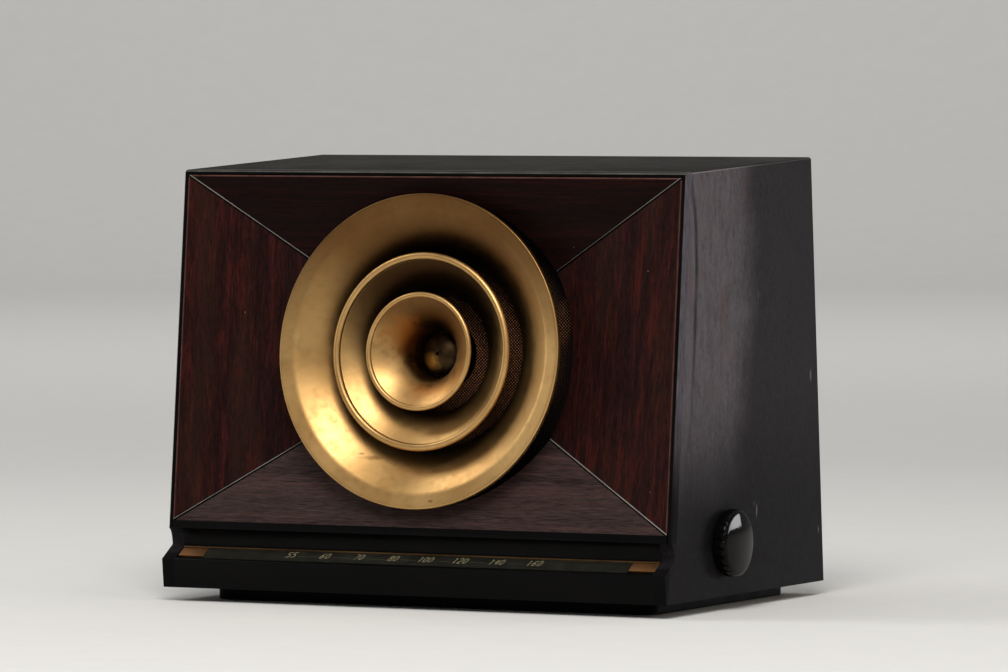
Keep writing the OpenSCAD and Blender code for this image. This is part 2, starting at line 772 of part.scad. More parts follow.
// Tube along a path, with its rings carried along without twist
function unit(v) = v / norm(v);
function tangent(p, i) = unit(p[min(i + 1, len(p) - 1)] - p[max(i - 1, 0)]);
function carried(n, t) = unit(n - (n * t) * t);
function normals(p, i, n) = i == len(p) ? [] :
    let (m = carried(n, tangent(p, i))) concat([m], normals(p, i + 1, m));
function tube_points(p, r, sides, first) = let (n = normals(p, 0, first)) [
    for (i = [0:len(p) - 1], k = [0:sides - 1]) let (a = 360 * k / sides)
        p[i] + r * cos(a) * n[i] + r * sin(a) * cross(tangent(p, i), n[i])];
function tube_faces(rings, sides) = concat(
    [[for (k = [sides - 1:-1:0]) k]],
    [for (i = [0:rings - 2], k = [0:sides - 1], half = [0, 1])
        let (a = i * sides + k, b = i * sides + (k + 1) % sides)
            half == 0 ? [a, b, b + sides] : [a, b + sides, a + sides]],
    [[for (k = [0:sides - 1]) (rings - 1) * sides + k]]);

module dial_cord()
    color("#6b5a3c") polyhedron(points = tube_points(cord_path, cord_r, 6, [1, 0, 0]),
        faces = [for (f = tube_faces(len(cord_path), 6)) backwards(f)]);

// Pilot lamps on the front of the chassis
lamp_in = 36;
lamp_up = 26;
holder_r = 4.6;
holder_l = 7;
bulb_r = 4;
module dial_lamps()
    color("#d9d2b8") both_sides()
        translate([chassis_x - lamp_in, lip_y + chassis_back, z0 + lamp_up]) rotate([90, 0, 0]) {
            cylinder(r = holder_r, h = holder_l);
            translate([0, 0, holder_l]) cylinder(r = bulb_r * 0.75, h = bulb_r * 0.625);
            translate([0, 0, holder_l + bulb_r * 0.75]) sphere(r = bulb_r);
        }

// Knob with a fluted rim and a domed face, standing on Z
module knob() {
    rim = knob_r - 0.8;
    dome = [for (i = [0:8]) let (a = 90 * i / 8)
        [rim * sin(a), knob_t - 2.2 + 2.2 * cos(a)]];
    difference() {
        rotate_extrude() polygon(concat(dome, [[knob_r, knob_t - 3], [knob_r, 1.2],
            [knob_r - 0.8, 0.4], [knob_r - 2.4, 0], [0, 0]]));
        for (i = [0:knob_flutes - 1]) rotate(360 * i / knob_flutes)
            translate([knob_r + 0.5, 0, -eps]) cylinder(r = 1.25, h = knob_t - 2.6, $fn = 24);
        translate([0, 0, -eps]) cylinder(r = shaft_r, h = knob_bore);
    }
}
knob_bore = 6.5;

module at_knob(x)
    translate([x, spool_y, spool_z]) rotate([0, 90, 0]) children();

module tuning_knob()
    color("#0b0a0a") at_knob(body_w / 2 + knob_gap) knob();
module volume_knob()
    color("#0b0a0a") mirror([1, 0, 0]) at_knob(body_w / 2 + knob_gap) knob();

// Shaft ends at the bottom of the knob's bore
shaft_end = body_w / 2 + knob_gap + knob_bore - eps;
bushing_out = 3.4;
bushing_in = 6;
module tuning_shaft()
    color("#b9bcc0") {
        bar_x(shaft_r, chassis_x - 14, shaft_end, spool_y, spool_z);
        at_knob(drum_x) grooved(spool_r, 5, shaft_r - 0.2);
    }

// Bushing clamped in the chassis wall: sleeve with a nut inside
module bushing()
    difference() {
        union() {
            bar_x(bushing_r, chassis_x - bushing_in, chassis_x + bushing_out, spool_y, spool_z);
            at_knob(chassis_x - steel_t - 2.4) cylinder(r = 7, h = 2.4, $fn = 6);
        }
        bar_x(shaft_r + run_fit, 0, far, spool_y, spool_z);
    }

module tuning_bushing() color("#c9a45c") bushing();

pot_r = 12;
pot_l = 11;
module volume_shaft()
    color("#b9bcc0") mirror([1, 0, 0])
        bar_x(shaft_r, chassis_x - bushing_in - 2, shaft_end, spool_y, spool_z);

// Volume control with its switch: round can on a bushing, three lugs below
module volume_control()
    color("#8f9296") mirror([1, 0, 0]) {
        bushing();
        difference() {
            union() {
                bar_x(pot_r, chassis_x - bushing_in - pot_l, chassis_x - bushing_in,
                    spool_y, spool_z);
                for (i = [-1, 0, 1])
                    translate([chassis_x - bushing_in - 3, spool_y + 6 * i - 1.5, spool_z - pot_r - 6])
                        cube([0.8, 3, 8]);
            }
            bar_x(shaft_r + run_fit, chassis_x - bushing_in - 4, far, spool_y, spool_z);
        }
    }

// Two-section tuning gang: frame, fixed plates and moving plates
gang_x0 = chassis_x - 4 - gang_w;
gang_mid = gang_x0 + gang_w / 2;
deck_z = z0 + chassis_up;
frame_y = rotor_r + 5;
// A child drawn in Y and Z about the gang's shaft, drawn out along X
module gang_slice(x0, x1)
    translate([x0, drum_y, drum_z]) rotate([90, 0, 90]) linear_extrude(x1 - x0) children();
module gang_frame()
    color("#a9acb0") difference() {
        union() {
            translate([gang_x0, drum_y - frame_y, deck_z]) cube([gang_w, 2 * frame_y, steel_t]);
            for (x = [gang_x0, gang_mid - steel_t / 2, gang_x0 + gang_w - steel_t])
                gang_slice(x, x + steel_t) {
                    translate([-frame_y, -gang_up]) square([2 * frame_y, gang_up - 2]);
                    circle(r = 9);
                    translate([-9, -gang_up]) square([18, gang_up]);
                }
        }
        bar_x(shaft_r + run_fit, gang_x0 - 1, gang_x0 + gang_w + 1, drum_y, drum_z);
    }

// Half disc below the shaft, between two radii
module half_ring(r0, r1)
    difference() {
        circle(r = r1);
        circle(r = r0);
        translate([-far / 2, 0]) square([far, far]);
    }

section_w = gang_w / 2 - 3 * steel_t / 2 - 2;
plate_pitch = (section_w - plate_t) / rotor_plates;
section_x = [gang_x0 + steel_t + 1, gang_mid + steel_t / 2 + 1];
stator_bar_r = 1.3;
module gang_stators()
    color("#c8ccd0") for (s = section_x) {
        for (i = [0:rotor_plates]) gang_slice(s + plate_pitch * i, s + plate_pitch * i + plate_t) {
            half_ring(shaft_r + 2.5, rotor_r + 2);
            for (side = [-1, 1]) translate([side * (rotor_r + 2), -2]) circle(r = 2);
        }
        for (side = [-1, 1])
            bar_x(stator_bar_r, s - 0.7, s + section_w + 0.7, drum_y + side * (rotor_r + 2.3),
                drum_z - 2);
    }

module gang_rotor()
    color("#c8ccd0") {
        bar_x(shaft_r, gang_x0 - 3, drum_x + drum_w / 2, drum_y, drum_z);
        for (s = section_x, i = [0:rotor_plates - 1]) {
            x = s + plate_pitch * (i + 0.5);
            gang_slice(x, x + plate_t) half_ring(shaft_r - 0.5, rotor_r);
        }
    }

// Drum with a grooved rim, three lightening holes and a hub
module tuning_drum()
    color("#a9acb0") translate([drum_x, drum_y, drum_z]) rotate([0, 90, 0]) difference() {
        union() {
            grooved(drum_r, drum_w, drum_r - 6);
            translate([0, 0, -1]) cylinder(r = drum_r - 5, h = 2);
            translate([0, 0, -drum_w / 2]) cylinder(r = 9, h = drum_w);
        }
        translate([0, 0, -drum_w]) cylinder(r = shaft_r, h = 2 * drum_w);
        for (a = [0, 120, 240]) rotate(a) translate([drum_r / 2 + 2, 0, -drum_w])
            cylinder(r = 13, h = 2 * drum_w);
    }

// Places of the valves on the deck, as [x, distance behind the ledge's lip]
valve_in = 24;
valve_pitch = chassis_w / 7.1;
valve_places = [for (i = [-2:2]) [i * valve_pitch, chassis_back + chassis_d - valve_in]];
can_in = 24;
can_places = [[can_in - chassis_x, chassis_back + 46],
    [can_in - chassis_x, chassis_back + chassis_d - 32]];
filter_place = [can_in + 40 - chassis_x, chassis_back + 62];
socket_r = 15;
socket_t = 2;
base_r = 15;
base_h = 14;
can_s = 26;
can_h = 52;
flange_d = 7;
chassis_y0 = lip_y + chassis_back;

// A child at each of a list of places on the deck
module on_deck(places)
    for (p = places) translate([p[0], lip_y + p[1], deck_z]) children();

// Steel pan standing on the bottom board, with a flange front and back
module chassis()
    color("#9a9d9f") difference() {
        union() {
            translate([-chassis_x, chassis_y0, z0 + board_t])
                cube([chassis_w, chassis_d, chassis_up - board_t]);
            translate([-chassis_x, chassis_y0 - flange_d, z0 + board_t])
                cube([chassis_w, chassis_d + 2 * flange_d, steel_t]);
        }
        translate([-chassis_x + steel_t, chassis_y0 + steel_t, z0])
            cube([chassis_w - 2 * steel_t, chassis_d - 2 * steel_t, chassis_up - steel_t]);
        on_deck(valve_places) translate([0, 0, -steel_t - eps])
            cylinder(r = socket_r - 3, h = steel_t + 2 * eps);
        bar_x(bushing_r, -far / 2, far / 2, spool_y, spool_z);
    }

module chassis_screws()
    color("#8f9296") for (y = [chassis_y0 - flange_d / 2, chassis_y0 + chassis_d + flange_d / 2])
        both_sides() translate([chassis_x - 12, y, z0 + board_t + steel_t]) difference() {
            cylinder(r = 3, h = 2.2);
            translate([-4, -0.4, 1.2]) cube([8, 0.8, 2]);
        }

module valve_sockets()
    color("#5a3a1e") on_deck(valve_places) cylinder(r = socket_r, h = socket_t);

module valve_bases()
    color("#2a1a12") on_deck(valve_places) translate([0, 0, socket_t]) {
        cylinder(r = base_r, h = base_h - 3);
        translate([0, 0, base_h - 3]) cylinder(r1 = base_r, r2 = base_r - 0.8, h = 3);
    }

// Glass envelope: straight sides under a domed top
module valve_glass()
    color("#b8c4c4", 0.5) on_deck(valve_places) translate([0, 0, socket_t + base_h])
        rotate_extrude() polygon(concat([[0, 0], [valve_r - 1, 0], [valve_r, 2]],
            [for (i = [0:8]) let (a = 90 * i / 8)
                [valve_r * cos(a), valve_h - valve_r * 0.8 + valve_r * 0.8 * sin(a)]]));

// Screening can: square tube with round corners and a shallow lid
module screening_can() {
    r = 3;
    linear_extrude(can_h) {
        for (x = [-1, 1], y = [-1, 1])
            translate([x * (can_s / 2 - r), y * (can_s / 2 - r)]) circle(r = r);
        square([can_s, can_s - 2 * r], center = true);
        square([can_s - 2 * r, can_s], center = true);
    }
    translate([0, 0, can_h]) cylinder(r = can_s / 2 - 4, h = 1.2);
}

module if_cans() color("#c4c7c9") on_deck(can_places) screening_can();

filter_r = 12.5;
filter_h = 56;
module filter_can()
    color("#c4c7c9") on_deck([filter_place]) {
        cylinder(r = filter_r + 1.5, h = 2);
        cylinder(r = filter_r, h = filter_h);
        translate([0, 0, filter_h]) cylinder(r1 = filter_r, r2 = filter_r - 1.5, h = 1.5);
    }

// Output transformer: laminated core, bobbin and strap
transformer_place = [gang_x0 - 32, chassis_back + 62];
core_size = [34, 14, 28];
bobbin_size = [21, 22, 17];
strap_t = 2;
foot_size = [50, 10, 1.2];
// A block centred on the middle of its underside
module centred_block(size, up)
    translate([-size[0] / 2, -size[1] / 2, up]) cube(size);
module output_transformer()
    color("#3b3d40") on_deck([transformer_place]) {
        centred_block(core_size, strap_t);
        centred_block(bobbin_size, strap_t + (core_size[2] - bobbin_size[2]) / 2);
        centred_block([core_size[0] + 2, core_size[1] + 1.2, strap_t], 0);
        centred_block(foot_size, 0);
    }

// Depths of the loudspeaker are counted back from the baffle
module speaker_axis()
    on_axis() translate([0, 0, baffle_w0]) mirror([0, 0, 1]) children();
cone_r = baffle_hole_r + 3;
coil_r = 12;
module speaker_basket()
    color("#5d6064") speaker_axis() difference() {
        rotate_extrude() polygon([[cone_r + 0.3, 0], [speaker_r, 0], [speaker_r, steel_t],
            [cone_r + 2, steel_t], [magnet_r + 4, basket_d], [coil_r + 1, basket_d],
            [coil_r + 1, basket_d - steel_t], [magnet_r + 3, basket_d - steel_t],
            [cone_r + 0.3, steel_t * 2]]);
        for (a = [0:3]) rotate(90 * a + 45) translate([22, -13, 9])
            cube([60, 26, basket_d - 18]);
    }

module speaker_cone()
    color("#1b1917") speaker_axis() rotate_extrude() polygon([[cone_r, 0.1], [cone_r, 1.1],
        [cone_r - 3.5, 1.1], [coil_r + 3, basket_d - 11], [coil_r, basket_d - 11],
        [coil_r, basket_d - 0.6], [coil_r - 1, basket_d - 0.6], [coil_r - 1, basket_d - 12],
        [0, basket_d - 16], [0, basket_d - 17], [coil_r * 0.7, basket_d - 15.6],
        [coil_r + 2.5, basket_d - 12], [cone_r - 4, 0.1]]);

module speaker_magnet()
    color("#6f5a3a") speaker_axis() translate([0, 0, basket_d]) {
        cylinder(r = magnet_r, h = magnet_d - 3);
        translate([0, 0, magnet_d - 3]) cylinder(r1 = magnet_r, r2 = magnet_r - 3, h = 3);
    }

module speaker_screws()
    color("#8f9296") speaker_axis() for (a = [0:3]) rotate(90 * a)
        translate([speaker_r - 5, 0, steel_t]) cylinder(r = 2.8, h = 2, $fn = 6);

// Rear cover: fibreboard with ventilation slots, an outlet and screw holes
outlet_x = -96;
outlet_up = 26;
outlet_r = 5;
cover_x = inner_x - 0.3;
cover_w0 = -rear_recess - rear_t;
cover_screw_x = inner_x - cleat_s / 2;
cover_screw_v = [76, 140, 206];
vent_w = 4;
vent_h = 22;
vent_pitch = 16;
vent_rows = [40, 176];
vent_count = 15;
module rear_cover()
    color("#5b4128") difference() {
        on_back() difference() {
            translate([-cover_x, 0, cover_w0]) cube([2 * cover_x, back_len + 20, rear_t]);
            for (v = vent_rows, i = [0:vent_count - 1])
                translate([(i - (vent_count - 1) / 2) * vent_pitch - vent_w / 2, v, cover_w0 - 1])
                    cube([vent_w, vent_h, rear_t + 2]);
            translate([-outlet_x, outlet_up - 8, cover_w0 - 1]) cylinder(r = outlet_r, h = rear_t + 2);
        }
        top_space(-board_t - 0.3);
        translate([-far / 2, 0, z0 + board_t + 0.2 - far]) cube([far, far, far]);
    }

module rear_cover_screws()
    color("#8f9296") on_back() both_sides() for (v = cover_screw_v)
        translate([cover_screw_x, v, -rear_recess]) difference() {
            cylinder(r = 3, h = 1.6);
            translate([-4, -0.4, 0.8]) cube([8, 0.8, 2]);
        }

// Loop antenna: a flat winding on a board inside the rear cover
loop_x = inner_x - 36;
loop_v = [70, 168];
loop_t = 1.5;
loop_band = 18;
module loop_antenna()
    color("#8a6a35") on_back() translate([-loop_x, loop_v[0], cover_w0 - loop_t]) difference() {
        cube([2 * loop_x, loop_v[1] - loop_v[0], loop_t]);
        translate([loop_band, loop_band, -1])
            cube([2 * (loop_x - loop_band), loop_v[1] - loop_v[0] - 2 * loop_band, loop_t + 2]);
    }

// Rubber bushing in the rear cover's outlet
module cord_bushing()
    color("#141312") on_back() translate([-outlet_x, outlet_up - 8, cover_w0]) rotate_extrude()
        difference() {
            union() {
                translate([outlet_r - 1.6, -1.2]) square([1.6, rear_t + 2.4]);
                translate([outlet_r - 1.6, -1.2]) square([3.4, 1.2]);
                translate([outlet_r - 1.6, rear_t]) square([3.4, 1.2]);
            }
        }

side_board_left();
side_board_right();
top_board();
bottom_board();
plinth();
front_bead();
cove_rail();
dish_panel_top();
dish_panel_bottom();
dish_panel_left();
dish_panel_right();
mitre_strips();
baffle_board();
glue_blocks();
outer_horn();
middle_horn();
inner_horn();
centre_plug();
horn_spider();
grille_screen();
horn_screws();
dial_rail();
dial_scale();
dial_glass();
dial_trim();
dial_end_plates();
dial_pointer();
pointer_rod();
rod_brackets();
cord_guides();
guide_posts();
dial_cord();
dial_lamps();
tuning_knob();
tuning_shaft();
tuning_bushing();
volume_knob();
volume_shaft();
volume_control();
gang_frame();
gang_stators();
gang_rotor();
tuning_drum();
chassis();
chassis_screws();
valve_sockets();
valve_bases();
valve_glass();
if_cans();
filter_can();
output_transformer();
speaker_basket();
speaker_cone();
speaker_magnet();
speaker_screws();
rear_cover();
rear_cover_screws();
loop_antenna();
cord_bushing();
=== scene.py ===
"""Table radio receiver: materials, detailed pieces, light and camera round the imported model."""

import json
import math

import bmesh
import bpy
from mathutils import Matrix, Vector

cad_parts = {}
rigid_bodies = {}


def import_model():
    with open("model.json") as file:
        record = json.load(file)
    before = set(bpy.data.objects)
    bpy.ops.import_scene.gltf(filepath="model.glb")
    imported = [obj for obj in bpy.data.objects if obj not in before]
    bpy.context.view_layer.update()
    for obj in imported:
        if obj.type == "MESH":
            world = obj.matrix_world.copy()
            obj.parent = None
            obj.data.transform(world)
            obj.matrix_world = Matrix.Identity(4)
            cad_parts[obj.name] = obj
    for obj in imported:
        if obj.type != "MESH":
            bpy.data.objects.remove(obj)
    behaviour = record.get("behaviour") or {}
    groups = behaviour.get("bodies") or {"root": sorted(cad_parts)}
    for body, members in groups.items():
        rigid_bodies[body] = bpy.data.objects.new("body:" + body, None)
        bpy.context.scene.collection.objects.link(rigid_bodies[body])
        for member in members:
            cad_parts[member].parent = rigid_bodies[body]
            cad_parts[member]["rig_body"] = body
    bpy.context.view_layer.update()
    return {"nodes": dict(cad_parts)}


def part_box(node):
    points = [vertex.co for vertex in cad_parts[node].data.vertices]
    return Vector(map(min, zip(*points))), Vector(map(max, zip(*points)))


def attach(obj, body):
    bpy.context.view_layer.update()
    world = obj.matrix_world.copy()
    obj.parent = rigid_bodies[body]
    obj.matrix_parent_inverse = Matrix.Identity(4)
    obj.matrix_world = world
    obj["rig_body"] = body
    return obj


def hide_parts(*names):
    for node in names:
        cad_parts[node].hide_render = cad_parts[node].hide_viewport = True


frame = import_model()
nodes = frame["nodes"]
MM = 0.001

# Places on the cabinet's side section as (y, z) in mm, and the leans of its faces
FIELD_PT = (-95.4, 41.9)
LIP_PT = (-102.9, 24.4)
FRONT_LEAN = math.radians(5.79)
LEDGE_LEAN = math.radians(32.13)
# Horns, in mm: axis up the front's slope, screen behind the front plane, face of the plug
FIELD_MID = 104.33
SCREEN_BACK = 27.2
PLUG_FACE = -17.2
# Height over which the side boards' crease is drawn, and the plane of their top edge, in metres
SIDE_HEIGHT = 0.25
TOP_NORMAL, TOP_OFFSET = (0.0, -0.0371, 0.9993), 0.2506


def srgb(r, g, b):
    """A colour written as 0-255 screen values, as Blender's linear numbers."""
    def linear(c):
        c /= 255.0
        return c / 12.92 if c <= 0.04045 else ((c + 0.055) / 1.055) ** 2.4
    return (linear(r), linear(g), linear(b), 1.0)


def on_front(x=0.0, v=0.0, w=0.0):
    """Matrix of the front plane: X across, Y up the slope, Z outwards. Distances in mm."""
    m = Matrix.Translation((0, FIELD_PT[0] * MM, FIELD_PT[1] * MM))
    m = m @ Matrix.Rotation(math.pi / 2 - FRONT_LEAN, 4, "X")
    return m @ Matrix.Translation((x * MM, v * MM, w * MM))


def on_ledge(x=0.0, v=0.0, w=0.0):
    """Matrix of the sloped dial ledge: X across, Y up the slope, Z outwards."""
    m = Matrix.Translation((0, LIP_PT[0] * MM, LIP_PT[1] * MM))
    return m @ Matrix.Rotation(LEDGE_LEAN, 4, "X") @ Matrix.Translation((x * MM, v * MM, w * MM))


class Graph:
    """A material's node tree, built by calls that return sockets."""

    def __init__(self, name):
        self.mat = bpy.data.materials.new(name)
        self.mat.use_nodes = True
        self.tree = self.mat.node_tree
        self.shader = next(n for n in self.tree.nodes if n.type == "BSDF_PRINCIPLED")
        coords = self.add("ShaderNodeTexCoord").outputs
        self.place, self.facing = coords["Object"], coords["Normal"]

    def add(self, kind, **settings):
        node = self.tree.nodes.new(kind)
        for key, value in settings.items():
            setattr(node, key, value)
        return node

    def put(self, socket, value):
        if isinstance(value, bpy.types.NodeSocket):
            self.tree.links.new(value, socket)
        else:
            socket.default_value = value

    def mapped(self, scale=(1, 1, 1), turn=(0, 0, 0), source=None):
        node = self.add("ShaderNodeMapping")
        self.put(node.inputs["Vector"], source or self.place)
        node.inputs["Scale"].default_value = scale
        node.inputs["Rotation"].default_value = turn
        return node.outputs["Vector"]

    def noise(self, scale, detail=3.0, rough=0.5, vector=None, distort=0.0):
        node = self.add("ShaderNodeTexNoise")
        self.put(node.inputs["Vector"], vector or self.place)
        node.inputs["Scale"].default_value = scale
        node.inputs["Detail"].default_value = detail
        node.inputs["Roughness"].default_value = rough
        node.inputs["Distortion"].default_value = distort
        return node.outputs["Fac"]

    def cells(self, scale, vector=None):
        node = self.add("ShaderNodeTexVoronoi")
        self.put(node.inputs["Vector"], vector or self.place)
        node.inputs["Scale"].default_value = scale
        return node.outputs["Distance"]

    def ramp(self, fac, stops):
        node = self.add("ShaderNodeValToRGB")
        self.put(node.inputs["Fac"], fac)
        band = node.color_ramp
        while len(band.elements) < len(stops):
            band.elements.new(0.5)
        for element, (at, colour) in zip(band.elements, stops):
            element.position = at
            element.color = colour
        return node.outputs["Color"]

    def level(self, value, lo, hi, out_lo=0.0, out_hi=1.0, smooth=False):
        """A value taken from one range to another, and held at its ends."""
        node = self.add("ShaderNodeMapRange", clamp=True)
        if smooth:
            node.interpolation_type = "SMOOTHSTEP"
        for key, v in (("Value", value), ("From Min", lo), ("From Max", hi),
                       ("To Min", out_lo), ("To Max", out_hi)):
            self.put(node.inputs[key], v)
        return node.outputs["Result"]

    def math(self, operation, a, b=0.0, c=0.0):
        node = self.add("ShaderNodeMath", operation=operation)
        for i, v in enumerate((a, b, c)):
            self.put(node.inputs[i], v)
        return node.outputs["Value"]

    def mix(self, fac, a, b):
        node = self.add("ShaderNodeMix", data_type="RGBA")
        self.put(node.inputs["Factor"], fac)
        self.put(node.inputs[6], a)
        self.put(node.inputs[7], b)
        return node.outputs[2]

    def part(self, axis, source=None):
        node = self.add("ShaderNodeSeparateXYZ")
        self.put(node.inputs[0], source or self.place)
        return node.outputs[axis]

    def dot(self, direction, offset=0.0):
        """Distance along a direction in metres, less an offset."""
        node = self.add("ShaderNodeVectorMath", operation="DOT_PRODUCT")
        self.put(node.inputs[0], self.place)
        node.inputs[1].default_value = direction
        return self.math("SUBTRACT", node.outputs["Value"], offset)

    def radius(self):
        """Distance from the object's own Z axis."""
        node = self.add("ShaderNodeVectorMath", operation="LENGTH")
        self.put(node.inputs[0], self.mapped((1, 1, 0)))
        return node.outputs["Value"]

    def from_point(self, centre, scale=(1, 1, 1)):
        """Distance from a point in metres, with each axis weighed by scale."""
        node = self.add("ShaderNodeMapping")
        self.put(node.inputs["Vector"], self.place)
        node.inputs["Location"].default_value = [-c * s for c, s in zip(centre, scale)]
        node.inputs["Scale"].default_value = scale
        length = self.add("ShaderNodeVectorMath", operation="LENGTH")
        self.put(length.inputs[0], node.outputs["Vector"])
        return length.outputs["Value"]

    def bump(self, height, distance, under=None):
        node = self.add("ShaderNodeBump")
        node.inputs["Strength"].default_value = 1.0
        node.inputs["Distance"].default_value = distance
        self.put(node.inputs["Height"], height)
        if under is not None:
            self.put(node.inputs["Normal"], under)
        return node.outputs["Normal"]

    def finish(self, colour, rough, normal=None, **constants):
        """Joins colour, roughness and normal to the shader, and sets its plain numbers."""
        names = {"metallic": "Metallic", "ior": "IOR", "transmission": "Transmission Weight",
                 "alpha": "Alpha", "specular": "Specular IOR Level"}
        self.put(self.shader.inputs["Base Color"], colour)
        self.put(self.shader.inputs["Roughness"], rough)
        if normal is not None:
            self.put(self.shader.inputs["Normal"], normal)
        for key, value in constants.items():
            self.put(self.shader.inputs[names[key]], value)
        return self.mat


# Scale of the grain under the black lacquer, which runs along X
LONG_GRAIN = (14, 700, 700)


def lacquer(name, dark, worn, rough):
    """Old black lacquer on wood: soft clouding, faint grain, worn patches, dust specks."""
    g = Graph(name)
    cloud = g.noise(14.0, 4.0, 0.6, distort=0.6)
    fine = g.noise(1.0, 3.0, 0.6, g.mapped(LONG_GRAIN))
    rub = g.noise(70.0, 5.0, 0.7, distort=0.3)
    specks = g.level(g.noise(900.0, 2.0, 0.5), 0.70, 0.80)
    colour = g.mix(g.level(cloud, 0.34, 0.68), dark, worn)
    colour = g.mix(g.level(fine, 0.3, 0.8, 0.0, 0.35), colour, worn)
    colour = g.mix(g.math("MULTIPLY", specks, 0.1), colour, srgb(96, 88, 84))
    roughness = g.level(rub, 0.3, 0.7, rough[0], rough[1])
    normal = g.bump(fine, 0.00004, g.bump(rub, 0.00006))
    return g, colour, roughness, normal


# Painted sheen on the side boards, in metres: where it fades behind the front plane, and upwards
SHEEN_FADE, SHEEN_RISE = (0.056, 0.098), (0.05, 0.135)
# Crease behind their front edge: share of its greatest depth by share of the height
CREASE_DEPTH = 0.0235
CREASE_PATH = ((0.0, 0.64), (0.34, 0.70), (0.5, 0.80), (0.7, 0.78), (0.84, 0.66), (0.93, 0.42),
               (1.0, 0.10))
# Nicks on them: place along and up, half sizes in mm, weight
NICKS = ((86.0, 128.0, 1.4, 4.2, 0.7), (14.0, 54.0, 1.2, 4.6, 0.6), (96.0, 38.0, 1.1, 2.6, 0.6))


def rubbed_edge(g, colour, weight):
    """Painted highlight: a pale line where an eased edge turns up, away from flat faces."""
    up = g.part("Z", g.facing)
    line = g.math("MULTIPLY", g.level(up, 0.3, 0.45), g.level(up, 0.84, 0.97, weight, 0.0))
    line = g.math("MULTIPLY", line, g.level(g.noise(60.0, 4.0, 0.7), 0.3, 0.6, 0.45, 1.0))
    return g.mix(line, colour, srgb(140, 138, 130))


